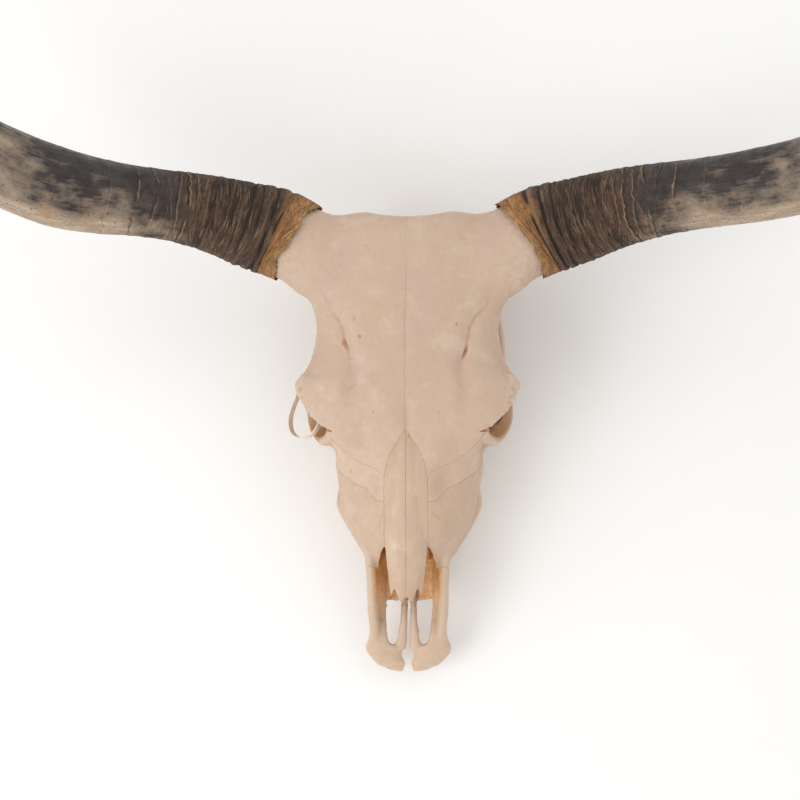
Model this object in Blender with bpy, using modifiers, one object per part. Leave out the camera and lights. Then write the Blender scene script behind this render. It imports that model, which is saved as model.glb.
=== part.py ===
"""Skull of a long-horned bull, without its lower jaw, lying as it rests on a floor.

Metres, +Z up, nose toward -Y, the animal's right horn toward -X. The skull is laid out in a frame
of its own: x across, y from the poll (y = 0) to the nose (negative), z up from the flat of the
forehead (z = 0). An empty then tips that frame by REST_PITCH, so that the bone stands on its back
teeth and on the two processes beside the condyles.

The bone is one solid built from soft forms. It is opened at the nose, eyes, ears and palate, and
then parted along its sutures into its separate bones.
"""

import math

import bmesh
import bpy
import numpy as np
from mathutils import Matrix, Vector

# Driving dimensions, in metres
SKULL_LENGTH = 0.524  # poll to the front of the incisive bones
TABLE_LENGTH = 524.0  # the same length in the units of the tables below
SUTURE_GAP = 0.0004  # clearance between neighbouring bones
SHEATH_WALL = 2.8  # wall of a horn sheath at its rim, table units
SHEATH_SOCKET = 34.0  # depth of the hollow that takes the bony core, table units
RIM_LEAN = 0.12  # obliqueness of the sheath's rim
FACE_SWAY, NOSE_SWAY = 0.8, 1.6  # how far the face and then the nose bend to the right, table units
POLL_DIP, POLL_SWELL = 3.4, 1.0  # bow of the poll's edge at the midline and beside it, table units
BAND_WIDTH, BAND_THICKNESS = 7.5, 1.6  # flat plastic band, table units
VOXEL = 0.0022  # grain at which the soft forms are merged
BONE_FACES = 2850  # triangles kept on the whole bone before it is parted
REST_PITCH = math.radians(9.1)  # forehead's slope as the skull rests

UNIT = SKULL_LENGTH / TABLE_LENGTH

BONE = (0.62, 0.45, 0.335)
BONE_PALE = (0.69, 0.50, 0.37)
TOOTH_BONE = (0.60, 0.43, 0.30)
HORN = (0.085, 0.060, 0.042)
PLASTIC = (0.80, 0.74, 0.60)

# Sections across the midline: y, half width, top, widest, bottom, squareness above, below, droop
FRONTAL_SHIELD = (
    (1.8, 80, -14, -24, -36, 2.6, 2.2, 4),
    (-4, 89, -6, -24, -46, 2.8, 2.2, 5),
    (-14, 94, -1, -24, -52, 3, 2.2, 6),
    (-40, 98, 0, -24, -54, 3, 2.2, 6),
    (-70, 106, 0, -24, -50, 3, 2.2, 9),
    (-93, 111, 0, -24, -46, 3, 2.2, 12),
    (-106, 109, 0, -23, -45, 3, 2.2, 14),
    (-120, 105.5, 0, -22, -43, 3, 2.2, 16),
    (-140, 104.5, 0, -18, -38, 3, 2.2, 18),
    (-162, 109.5, 0, -14, -30, 3, 2.2, 18),
    (-176, 117, 0, -12, -27, 3, 2.2, 17),
    (-188, 127, 0, -11, -25, 3, 2.2, 17),
    (-198, 125.5, -0.5, -10, -24, 3, 2.2, 16),
    (-210, 119, -1, -10, -24, 3, 2.2, 14),
    (-224, 110, -2, -10, -24, 3, 2.2, 12),
    (-236, 97, -3, -12, -26, 2.6, 2.2, 9),
    (-250, 84, -5, -17, -32, 2.4, 2.2, 6),
    (-263, 80, -9, -26, -44, 2.4, 2.2, 5),
    (-276, 76, -16, -38, -54, 2.4, 2.2, 4),
)
BRAINCASE = (
    (-6, 60, -30, -80, -128, 2.4, 2.2, 0),
    (-30, 74, -20, -82, -148, 2.4, 2.2, 0),
    (-70, 72, -15, -80, -150, 2.4, 2.2, 0),
    (-110, 61, -12, -75, -143, 2.4, 2.2, 0),
    (-150, 48, -10, -65, -132, 2.4, 2.2, 0),
    (-190, 40, -10, -60, -122, 2.4, 2.2, 0),
    (-228, 44, -10, -60, -118, 2.4, 2.2, 0),
)
NUCHAL_PLATE = (
    (-3, 76, -36, -92, -136, 2.6, 2.4, 0),
    (-10, 92, -28, -94, -146, 2.6, 2.4, 0),
    (-28, 104, -24, -98, -150, 2.6, 2.2, 0),
    (-48, 98, -32, -98, -142, 2.4, 2.2, 0),
    (-66, 82, -46, -95, -130, 2.2, 2.2, 0),
)
SKULL_BASE = (
    (4, 30, -156, -166, -175, 2.2, 2.4, 0),
    (-18, 33, -146, -164, -176, 2.2, 2.6, 0),
    (-45, 34, -138, -158, -172, 2.2, 2.6, 0),
    (-78, 28, -133, -152, -167, 2.2, 2.4, 0),
    (-110, 20, -126, -148, -159, 2.2, 2.2, 0),
    (-160, 15, -115, -138, -150, 2.2, 2.2, 0),
    (-200, 10, -105, -125, -136, 2.2, 2.2, 0),
)
FACE = (
    (-195, 44, -4, -60, -112, 2.5, 2.3, 0),
    (-225, 62, -4, -62, -118, 2.5, 2.3, 0),
    (-243, 80, -4, -62, -120, 2.5, 2.3, 0),
    (-258, 83.5, -5, -64, -120, 2.5, 2.3, 0),
    (-285, 81.5, -7, -70, -118, 2.3, 2.3, 0),
    (-310, 79.5, -9, -74, -116, 2.3, 2.3, 0),
    (-332, 77.5, -11, -76, -113, 2.2, 2.3, 0),
    (-350, 70.5, -13, -76, -109, 2.2, 2.3, 0),
    (-364, 62.5, -16, -74, -105, 2.2, 2.3, 0),
    (-376, 55.5, -22, -71, -101, 2.2, 2.3, 0),
    (-388, 50.5, -31, -69, -98, 2.2, 2.3, 0),
    (-398, 47, -40, -68, -95, 2.2, 2.3, 0),
)
PALATE_FRONT = (
    (-372, 40, -86, -92, -99, 3, 2.4, 0),
    (-400, 34, -86, -91, -97, 3, 2.4, 0),
    (-425, 31, -86, -90, -95, 3, 2.4, 0),
    (-440, 27, -86, -89, -93, 3, 2.4, 0),
)
NASAL_ROOF = (
    (-240, 6, -3.5, -6, -12, 2.2, 2.2, 1),
    (-262, 15, -4, -7, -13, 2.2, 2.2, 4),
    (-284, 21.5, -6, -9, -14, 2.4, 2.4, 7),
    (-330, 23.8, -9, -12, -15.5, 2.8, 2.8, 8),
    (-367, 24.2, -12, -15, -18.5, 3.2, 3.2, 7.5),
    (-395, 22, -14, -17, -20, 3.4, 3.4, 6.5),
    (-418, 19.6, -16, -19, -21.8, 3.4, 3.4, 5.5),
    (-434, 18.4, -18, -20.5, -23.4, 3.4, 3.4, 4.5),
)
NOSE_CAVITY = (
    (-292, 22, -24, -60, -92, 2.4, 2.4, 0),
    (-310, 34, -20, -62, -97, 2.4, 2.4, 0),
    (-340, 38, -19, -62, -95, 2.4, 2.4, 0),
    (-366, 36, -20, -60, -92, 2.4, 2.4, 0),
    (-390, 33, -20, -58, -88, 2.6, 2.6, 0),
    (-420, 31, -20, -56, -86, 2.6, 3, 0),
    (-470, 30, -20, -56, -86, 2.6, 3, 0),
)
NOSE_OPENING = (
    (-364, 20, 20, -20, -50, 4, 2.4, 0),
    (-376, 27, 20, -20, -70, 4, 2.4, 0),
    (-392, 32, 20, -20, -80, 4, 2.4, 0),
    (-420, 35, 20, -20, -84, 4, 2.4, 0),
    (-470, 35, 20, -20, -84, 4, 2.4, 0),
)
CHOANA = (
    (-285, 14, -84, -96, -108, 2.2, 2.2, 0),
    (-262, 17, -88, -104, -125, 2.2, 2.2, 0),
    (-235, 18.5, -98, -120, -150, 2.2, 2.2, 0),
    (-205, 18.5, -112, -140, -170, 2.2, 2.2, 0),
    (-185, 18, -126, -150, -180, 2.2, 2.2, 0),
)

# Ovals along a path on the +X side: x, y, z, half height, half width, roll in degrees
HORN_CORE = (
    (40, -56, -30, 20, 60, 0),
    (62, -53, -32, 27, 59, 0),
    (80, -50, -35, 33, 56, 0),
    (95, -45, -38, 37, 52, 0),
    (110, -37, -40, 39.5, 48, 0),
    (124, -29.5, -41.5, 42, 45.5, 0),
    (137, -23, -41, 42, 45.5, 0),
    (149, -17.5, -39.5, 41.5, 45, 0),
)
HYOID_PROCESS = ((54, -74, -146, 15, 6, 90), (54, -82, -162, 11, 5, 90), (52, -90, -173, 6, 3.5, 90))
EAR_TUBE = ((66, -68, -112, 13, 13, 0), (88, -64, -103, 12, 12, 0), (104, -61, -97, 11, 11, 0))
PARACONDYLAR = (
    (66, -14, -108, 24, 13, 90),
    (66, -17, -140, 21, 10, 90),
    (64, -22, -170, 16, 8, 90),
    (59, -28, -192, 10, 6.5, 90),
    (57, -30, -201, 6, 5, 90),
)
CHEEK_ARCH = (
    (66, -64, -98, 15, 12, 0),
    (84, -74, -98, 15, 10, 0),
    (93, -90, -98, 13, 8.5, 0),
    (99.5, -112, -98, 9.5, 6, 0),
    (105.5, -142, -95, 9, 5, 0),
    (106, -168, -90, 11, 5, 0),
    (109, -190, -88, 12, 5.5, 0),
    (112, -206, -89, 11, 6, 0),
)
POSTORBITAL_BAR = (
    (112, -182, -20, 9, 7, 90),
    (114, -187, -42, 8.5, 5.5, 90),
    (113, -191, -63, 8.5, 5.5, 90),
    (111, -195, -88, 12, 6, 90),
)
ORBIT_RIM = (
    (111, -194, -88, 11, 5.5, 0),
    (113.5, -212, -91, 11, 6, 0),
    (112.5, -230, -92, 12, 7, 0),
    (106, -244, -86, 12, 8, 0),
    (97, -251.5, -70, 12, 8, 0),
    (90, -250, -54, 12, 8, 0),
    (85, -246, -40, 11, 8, 0),
    (84, -240, -26, 10, 8, 0),
)
FACIAL_CREST = (
    (106, -238, -92, 15, 9, 0),
    (97, -248.5, -92, 16, 9, 0),
    (85.5, -254.5, -93, 18, 9.5, 0),
    (76.5, -265, -93, 19, 10, 0),
    (76, -285, -92, 18, 10, 0),
    (73, -308, -89, 13, 9.5, 0),
    (75.5, -330, -86, 10, 9, 0),
    (70, -345, -85, 8, 7.5, 0),
    (61.5, -360, -86, 8, 7.5, 0),
    (53, -375, -87, 8, 7, 0),
    (45, -390, -87, 7, 6.5, 0),
)
TOOTH_RIDGE = (
    (52, -232, -102, 16, 13, 0),
    (58, -252, -108, 22, 14, 0),
    (59, -285, -108, 22, 14, 0),
    (55, -318, -105, 19, 13, 0),
    (48, -350, -99, 17, 12, 0),
    (41, -378, -93, 15, 10, 0),
    (36, -398, -89, 11, 8, 0),
)
PTERYGOID = (
    (24, -262, -112, 18, 4, 0),
    (23, -235, -118, 20, 3.5, 0),
    (22.5, -205, -124, 22, 3.5, 0),
    (22, -185, -134, 20, 3.2, 0),
    (22, -170, -132, 15, 4, 0),
    (20, -150, -130, 10, 5, 0),
)
INCISIVE_RIM = (
    (46, -362, -46, 10, 7, 0),
    (43, -384, -47, 9, 6.5, 0),
    (41, -408, -50, 8, 6.5, 0),
    (40.5, -436, -58, 8, 6.5, 0),
    (39.5, -456, -67, 7, 6.5, 0),
    (38.5, -474, -76.5, 6.5, 6.5, 0),
    (40, -488, -84, 5, 7, 0),
)
INCISIVE_WALL = (
    (42, -362, -72, 26, 6.5, -14),
    (37, -386, -74, 23, 6, -16),
    (34, -412, -76, 19, 5.5, -18),
    (33, -438, -80, 13, 5.5, -16),
    (33.5, -460, -85, 8, 7, -10),
    (34, -475, -87, 6, 10, 0),
)
INCISIVE_BODY = (
    (35, -462, -79, 4.5, 7.5, 0),
    (34.5, -474, -83, 6, 9.3, 0),
    (34, -484, -85.3, 6.8, 12.8, 0),
    (32, -491, -87, 8, 17.8, 0),
    (28.1, -496, -88, 8.5, 22.1, 0),
    (28.2, -500, -89, 8.5, 21.2, 0),
    (26.2, -506, -90, 8.5, 19, 0),
    (22.7, -511, -91.5, 8, 18.5, 0),
    (19.3, -516, -92.5, 6.5, 16.7, 0),
    (15.7, -520.5, -93.5, 5, 13.3, 0),
    (12, -525, -94, 3.4, 10, 0),
)
PALATINE_ROD = (
    (9.5, -498, -88, 5, 7.5, 0),
    (8, -486, -87, 5, 6.5, 0),
    (6.2, -470, -86, 4.5, 4.8, 0),
    (5.4, -450, -85.5, 5, 4.1, 0),
    (5.2, -430, -85, 5, 4, 0),
    (5, -395, -86, 5, 4, 0),
)
UPPER_SCROLL = ((13, -330, -40, 14, 7, 0), (15, -360, -42, 12, 6, 0), (19, -402, -50, 3, 2, 0))
LOWER_SCROLL = ((20, -330, -74, 12, 7, 0), (22, -360, -74, 11, 6, 0), (22, -392, -78, 6, 4, 0))
EYE_SOCKET = (
    (58, -209, -66, 16, 14, 0),
    (74, -216, -62, 23, 22, 0),
    (92, -221, -58, 28, 26, 0),
    (110, -223, -57, 31, 27, 0),
    (150, -224, -54, 38, 31, 0),
)
SPINAL_HOLE = (
    (0, 40, -150, 19, 18, 0),
    (0, 10, -150, 19, 18, 0),
    (0, -20, -146, 17, 17, 0),
    (0, -48, -138, 12, 12, 0),
)
EAR_HOLE = ((84, -65, -104, 5, 5, 0), (96, -62, -100, 5.5, 5.5, 0), (125, -57, -90, 6, 6, 0))

# The two horns differ a little: x outward, y, z, radius
HORN_LEFT = (
    (126, -28, -42, 50),
    (152, -16, -40, 51),
    (190, -6, -32, 48.5),
    (230, 5, -19, 44),
    (280, 13.5, 1, 40),
    (330, 18, 23, 38.5),
    (380, 22.5, 48, 39.5),
    (425, 30, 71, 40),
    (468, 45, 96, 38.5),
    (515, 68, 128, 34.5),
    (562, 94, 164, 29),
    (607, 118, 200, 22),
    (647, 137, 233, 14.5),
    (678, 150, 260, 7.5),
    (696, 157, 276, 2.5),
)
HORN_RIGHT = (
    (126, -28, -42, 49.5),
    (150, -16.5, -41, 51),
    (180, -8, -34, 49),
    (215, 2, -24, 44),
    (255, 10, -10, 40),
    (295, 14.5, 7, 39),
    (336, 18, 26, 41.5),
    (376, 25, 45, 44),
    (414, 38, 65, 43.5),
    (456, 58, 90, 41.5),
    (502, 83, 121, 37.5),
    (550, 109, 156, 31.5),
    (597, 132, 192, 24),
    (640, 151, 226, 15.5),
    (672, 163, 252, 8),
    (691, 170, 268, 2.5),
)

# Cheek teeth, back to front: x, y, length along the row, width, gum height, chewing height
CHEEK_TEETH = (
    (61, -262, 29.5, 21, -118, -155),
    (60, -290, 25.5, 22, -118, -158),
    (57, -315, 22.5, 21, -114, -152),
    (53, -336, 18, 19, -110, -145),
    (48.5, -354, 16.5, 16, -106, -138),
    (44, -371, 15, 13, -102, -131),
)

# Outlines along which the bones part, for the +X side or, in the y-z plane, seen from the side
NASAL_PLAN = (
    (0, -242), (4.7, -244.5), (15.5, -263), (21.5, -278), (24.5, -296), (24.7, -366), (31, -373),
    (31, -450), (0, -450),
)
LACRIMAL_PLAN = (
    (24, -292.5), (32, -284.5), (41, -281), (52, -276.5), (62, -271), (78, -258), (88, -243),
    (120, -243),
    (120, -264), (92, -277), (76, -290), (60, -300), (46, -306), (34, -320), (24, -320),
)
INCISIVE_SIDE = (
    (-384, 20), (-384, -22), (-400, -46), (-430, -76), (-452, -88), (-452, -140), (-600, -140),
    (-600, 20),
)
FRONTAL_SIDE = (
    (-104, 40), (-104, -50), (-150, -50), (-170, -64), (-206, -64), (-216, -42), (-253, -32),
    (-253, 40),
)
FRONTAL_NOSE = ((0, -236), (92, -236), (92, -250), (70, -274), (44, -290), (24, -298), (0, -298))
FRONTAL_FRONT = (
    (0, 40), (220, 40), (220, -110), (126, -110), (119, -83), (100, -79), (82, -64), (60, -50),
    (0, -46),
)
ZYGOMATIC_PLAN = (
    (66, -318), (73, -285), (73, -250), (90, -232), (98, -215), (98, -187), (150, -187),
    (150, -318),
)
ROD_SLIT_PLAN = ((0, -436), (0.9, -436), (0.9, -482), (2.6, -500), (2.6, -540), (0, -540))
MAXILLA_PLAN = ((0, -292), (29, -292), (29, -238), (130, -238), (130, -560), (0, -560))
TEMPORAL_PLAN = (
    (31, -46.5), (31, -95), (56, -102), (56, -126), (96, -150), (96, -187), (150, -187),
    (150, -46.5),
)
OCCIPITAL_PLAN = (
    (0, -88), (31, -88), (31, -46.5), (150, -46.5), (150, 60), (0, 60),
)

# Closed loop of the plastic band round the bar behind the right eye, on the -X side
BAND_PATH = (
    (-98, -187, -54), (-104, -177, -58), (-113, -174, -64), (-122, -179, -71), (-127, -189, -75),
    (-129.5, -201, -77), (-135.5, -215, -82), (-139.5, -229, -85), (-138, -241.5, -81),
    (-131, -249.5, -73), (-119.5, -250.5, -63), (-109, -245, -56), (-101.5, -233.5, -51),
    (-97.5, -219, -50), (-96, -203, -51),
)


def smooth_rows(rows, count, columns=3):
    """Rows of a table drawn out to count rows on a smooth cubic through them.

    The spacing follows the distance between rows in their first columns.
    """
    rows = np.asarray(rows, float)
    steps = np.linalg.norm(np.diff(rows[:, :columns], axis=0), axis=1)
    knots = np.concatenate([[0.0], np.cumsum(steps)])
    slopes = np.gradient(rows, knots, axis=0)
    at = np.linspace(0.0, knots[-1], count)
    k = np.clip(np.searchsorted(knots, at, side="right") - 1, 0, len(knots) - 2)
    span = (knots[k + 1] - knots[k])[:, None]
    u = (at - knots[k])[:, None] / span
    start = (2 * u**3 - 3 * u**2 + 1) * rows[k] + (u**3 - 2 * u**2 + u) * span * slopes[k]
    end = (3 * u**2 - 2 * u**3) * rows[k + 1] + (u**3 - u**2) * span * slopes[k + 1]
    return start + end


def power(values, exponent):
    return np.sign(values) * np.abs(values) ** exponent


def skin(name, rings, collection, loop=False):
    """A closed mesh over rings of points, each ring joined to the next and the ends capped."""
    bm = bmesh.new()
    made = [[bm.verts.new(point * UNIT) for point in ring] for ring in rings]
    pairs = list(zip(made, made[1:])) + ([(made[-1], made[0])] if loop else [])
    for one, two in pairs:
        for k in range(len(one)):
            n = (k + 1) % len(one)
            bm.faces.new((one[k], one[n], two[n], two[k]))
    if not loop:
        for ring in (made[0], made[-1]):
            middle = bm.verts.new(sum((v.co for v in ring), Vector()) / len(ring))
            for k in range(len(ring)):
                bm.faces.new((ring[k], ring[(k + 1) % len(ring)], middle))
    bmesh.ops.recalc_face_normals(bm, faces=bm.faces)
    if bm.calc_volume(signed=True) < 0:
        bmesh.ops.reverse_faces(bm, faces=bm.faces)
    return new_object(name, bm, collection)


def new_object(name, bm, collection):
    mesh = bpy.data.meshes.new(name)
    bm.to_mesh(mesh)
    bm.free()
    obj = bpy.data.objects.new(name, mesh)
    collection.objects.link(obj)
    return obj


def loft(name, rows, collection, along=30, around=32):
    """A form across the midline, from superellipse sections that may droop at the sides."""
    table = smooth_rows(rows, along, columns=1)
    turn = np.linspace(0, 2 * math.pi, around, endpoint=False)
    rings = []
    for y, half, top, wide, bottom, up, down, droop in table:
        rise = np.sin(turn)
        exponent = np.where(rise >= 0, 2 / up, 2 / down)
        x = half * power(np.cos(turn), exponent)
        z = wide + np.where(rise >= 0, top - wide, wide - bottom) * power(rise, exponent)
        z = z - droop * (np.abs(x) / half) ** 2.5
        rings.append(np.stack([x, np.full(around, y), z], axis=1))
    return skin(name, rings, collection)


def frames(points):
    """Unit vectors along a path, upright to it and sideways to it."""
    ahead = np.gradient(points, axis=0)
    ahead /= np.linalg.norm(ahead, axis=1)[:, None]
    side = np.cross(ahead, (0.0, 0.0, 1.0))
    steep = np.linalg.norm(side, axis=1) < 0.25
    side[steep] = np.cross(ahead[steep], (0.0, 1.0, 0.0))
    for k in range(1, len(side)):
        if side[k] @ side[k - 1] < 0:
            side[k] *= -1
    side /= np.linalg.norm(side, axis=1)[:, None]
    return ahead, np.cross(side, ahead), side


def tube(name, rows, collection, along=18, around=14, mirror=False, taper=0.55, square=False):
    """Ovals of changing size along a path, narrowed at both ends by taper.

    The ovals stand across the path or, when square, across the y axis.
    """
    table = smooth_rows(rows, along)
    path = table[:, :3] * (0, 1, 0) if square else table[:, :3]
    ahead, up, side = frames(path)
    turn = np.linspace(0, 2 * math.pi, around, endpoint=False)
    rings = []
    for k, (x, y, z, high, wide, roll) in enumerate(table):
        size = taper if k in (0, along - 1) else 1.0
        roll = math.radians(roll)
        one = up[k] * math.cos(roll) + side[k] * math.sin(roll)
        two = np.cross(ahead[k], one)
        ring = np.array((x, y, z)) + size * (
            np.outer(high * np.cos(turn), one) + np.outer(wide * np.sin(turn), two)
        )
        rings.append(ring * (-1, 1, 1) if mirror else ring)
    return skin(name, rings, collection)


def tubes(name, rows, collection, **how):
    """The same tube on both sides."""
    return [
        tube(name + "_left", rows, collection, **how),
        tube(name + "_right", rows, collection, mirror=True, **how),
    ]


def ellipsoids(name, centre, radii, collection, turn=(0, 0, 0)):
    """A sphere stretched to three radii, turned, on both sides."""
    made = []
    for label, side in (("_left", 1), ("_right", -1)):
        bm = bmesh.new()
        bmesh.ops.create_uvsphere(bm, u_segments=18, v_segments=12, radius=1.0)
        tip = Matrix.Rotation(math.radians(turn[2] * side), 4, "Z")
        tip @= Matrix.Rotation(math.radians(turn[0]), 4, "X")
        place = Matrix.Translation(Vector((centre[0] * side, centre[1], centre[2])))
        size = Matrix.Diagonal((*radii, 1.0))
        bmesh.ops.transform(bm, matrix=Matrix.Scale(UNIT, 4) @ place @ tip @ size, verts=bm.verts)
        made.append(new_object(name + label, bm, collection))
    return made


def tooth(name, row, side, collection):
    """One cheek tooth: a block narrowing to the root, its edges bevelled."""
    x, y, length, width, gum, chew = row
    bm = bmesh.new()
    bmesh.ops.create_cube(bm, size=1.0)
    for v in bm.verts:
        narrow = 0.9 if v.co.z > 0 else 1.0
        v.co.x = (side * x + v.co.x * width * narrow) * UNIT
        v.co.y = (y + v.co.y * length * narrow) * UNIT
        v.co.z = ((gum + chew) / 2 + v.co.z * (gum - chew)) * UNIT
    bmesh.ops.bevel(
        bm, geom=[e for e in bm.edges if abs(e.verts[0].co.z - e.verts[1].co.z) > 0.01],
        offset=4.5 * UNIT, segments=1, profile=0.5, affect="EDGES",
    )
    return new_object(name, bm, collection)


def widened(outline, gap):
    """An outline with each of its sides moved out by a gap."""
    points = np.array(outline, float)
    ahead = np.roll(points, -1, axis=0) - points
    ahead /= np.linalg.norm(ahead, axis=1)[:, None]
    area = np.cross(points, np.roll(points, -1, axis=0)).sum()
    out = np.stack([ahead[:, 1], -ahead[:, 0]], axis=1) * math.copysign(1.0, area)
    both = out + np.roll(out, 1, axis=0)
    return points + gap * 2 * both / (both**2).sum(axis=1)[:, None]


def prism(name, outline, span, plane, collection, gap=0.0, side=1):
    """A closed prism over an outline, made larger by a gap all round.

    plane names the outline's two axes and then the span's.
    """
    order = ["xyz".index(axis) for axis in plane]
    bm = bmesh.new()
    ends = []
    for level in (span[0] - gap, span[1] + gap):
        ring = []
        for a, b in widened(outline, gap):
            point = [0.0, 0.0, 0.0]
            for axis, value in zip(order, (a, b, level)):
                point[axis] = value * UNIT
            point[0] *= side
            ring.append(bm.verts.new(point))
        ends.append(ring)
        bm.faces.new(ring)
    low, high = ends
    for k in range(len(low)):
        n = (k + 1) % len(low)
        bm.faces.new((low[k], low[n], high[n], high[k]))
    bmesh.ops.recalc_face_normals(bm, faces=bm.faces)
    if bm.calc_volume(signed=True) < 0:
        bmesh.ops.reverse_faces(bm, faces=bm.faces)
    return new_object(name, bm, collection)


def region(name, prisms, collection, gap=0.0):
    """Both sides of a bone's region. An outline that meets the midline goes across it."""
    made = []
    for outline, span, plane in prisms:
        if "x" in plane[:2] and outline[0][0] == outline[-1][0] == 0:
            outline = outline[1:-1] + tuple((-a, b) for a, b in reversed(outline[1:-1]))
            made.append(prism(name, outline, span, plane, collection, gap))
        elif "x" in plane[:2]:
            pair = [prism(name, outline, span, plane, collection, gap, k) for k in (1, -1)]
            made.append(joined(name, pair, collection))
        else:
            made.append(prism(name, outline, span, plane, collection, gap))
    for other in made[1:]:
        boolean(made[0], other, "UNION")
    return made[0]


def applied(obj):
    """Replaces an object's mesh by the result of its modifiers."""
    bpy.context.view_layer.update()
    graph = bpy.context.evaluated_depsgraph_get()
    mesh = bpy.data.meshes.new_from_object(obj.evaluated_get(graph))
    obj.modifiers.clear()
    old, obj.data = obj.data, mesh
    bpy.data.meshes.remove(old)
    return obj


def boolean(obj, cutter, operation):
    modifier = obj.modifiers.new(operation.title(), "BOOLEAN")
    modifier.operation = operation
    modifier.object = cutter
    return applied(obj)


def joined(name, objects, collection):
    """One object that holds the meshes of several."""
    bm = bmesh.new()
    for obj in objects:
        bm.from_mesh(obj.data)
        bpy.data.objects.remove(obj)
    return new_object(name, bm, collection)


def merged(obj, voxel):
    """Overlapping closed forms merged into one skin."""
    remesh = obj.modifiers.new("Merge", "REMESH")
    remesh.mode = "VOXEL"
    remesh.voxel_size = voxel
    return applied(obj)


def ramp(values, low, high):
    """0 up to low, 1 from high on, and a straight line between."""
    return np.clip((values - low) / (high - low), 0.0, 1.0)


def eased(obj):
    """Rounds off the creases where the horn necks and the face leave the forehead, and where the
    face runs out into the bars of the nose."""
    mesh = obj.data
    points = np.empty(len(mesh.vertices) * 3, np.float32)
    mesh.vertices.foreach_get("co", points)
    x, y, z = points.reshape(-1, 3).T / UNIT
    x = np.abs(x)
    neck = ramp(x, 48, 66) * ramp(x, 128, 117) * ramp(y, -138, -120) * ramp(z, -85, -65)
    brow = ramp(y, -226, -240) * ramp(y, -296, -280) * ramp(z, -44, -30) * ramp(x, 84, 70)
    bars = 0.2 * ramp(y, -362, -372) * ramp(y, -410, -398)
    weights = np.round(10 * np.maximum(np.maximum(neck, brow), bars)).astype(int)
    group = obj.vertex_groups.new(name="Ease")
    for level in range(1, 11):
        group.add(np.flatnonzero(weights == level).tolist(), level / 10, "REPLACE")
    ease = obj.modifiers.new("Ease", "SMOOTH")
    ease.factor, ease.iterations, ease.vertex_group = 0.5, 90, "Ease"
    applied(obj)
    obj.vertex_groups.clear()
    return obj


def swayed(obj):
    """Bends the face, and the nose a little further, to the animal's right. It also bows the
    poll, whose edge dips at the midline and swells on either side."""
    for v in obj.data.vertices:
        x, y = abs(v.co.x / UNIT), -v.co.y / UNIT
        poll = min(max((42 - y) / 40, 0.0), 1.0) ** 2
        swell = POLL_SWELL * math.exp(-(((x - 54) / 18) ** 2))
        v.co.y += UNIT * poll * (swell - POLL_DIP * math.exp(-((x / 30) ** 2)))
        face = min(max((y - 190) / 60, 0.0), 1.0)
        nose = min(max((y - 440) / 60, 0.0), 1.0)
        v.co.x -= UNIT * (FACE_SWAY * face * face * (3 - 2 * face) + NOSE_SWAY * nose)
    return obj


def largest_island(obj):
    """Keeps the largest connected body, so that no crumb is left of a cut."""
    bm = bmesh.new()
    bm.from_mesh(obj.data)
    left, islands = set(bm.verts), []
    while left:
        stack, island = [left.pop()], set()
        while stack:
            v = stack.pop()
            island.add(v)
            for edge in v.link_edges:
                other = edge.other_vert(v)
                if other in left:
                    left.remove(other)
                    stack.append(other)
        islands.append(island)

    def bulk(island):
        low = [min(v.co[k] for v in island) for k in range(3)]
        high = [max(v.co[k] for v in island) for k in range(3)]
        return math.prod(b - a for a, b in zip(low, high))

    islands.sort(key=bulk)
    crumbs = [v for island in islands[:-1] for v in island]
    bmesh.ops.delete(bm, geom=crumbs, context="VERTS")
    bm.to_mesh(obj.data)
    bm.free()
    return obj


def copy_of(obj, name, collection):
    twin = bpy.data.objects.new(name, obj.data.copy())
    collection.objects.link(twin)
    return twin


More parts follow.
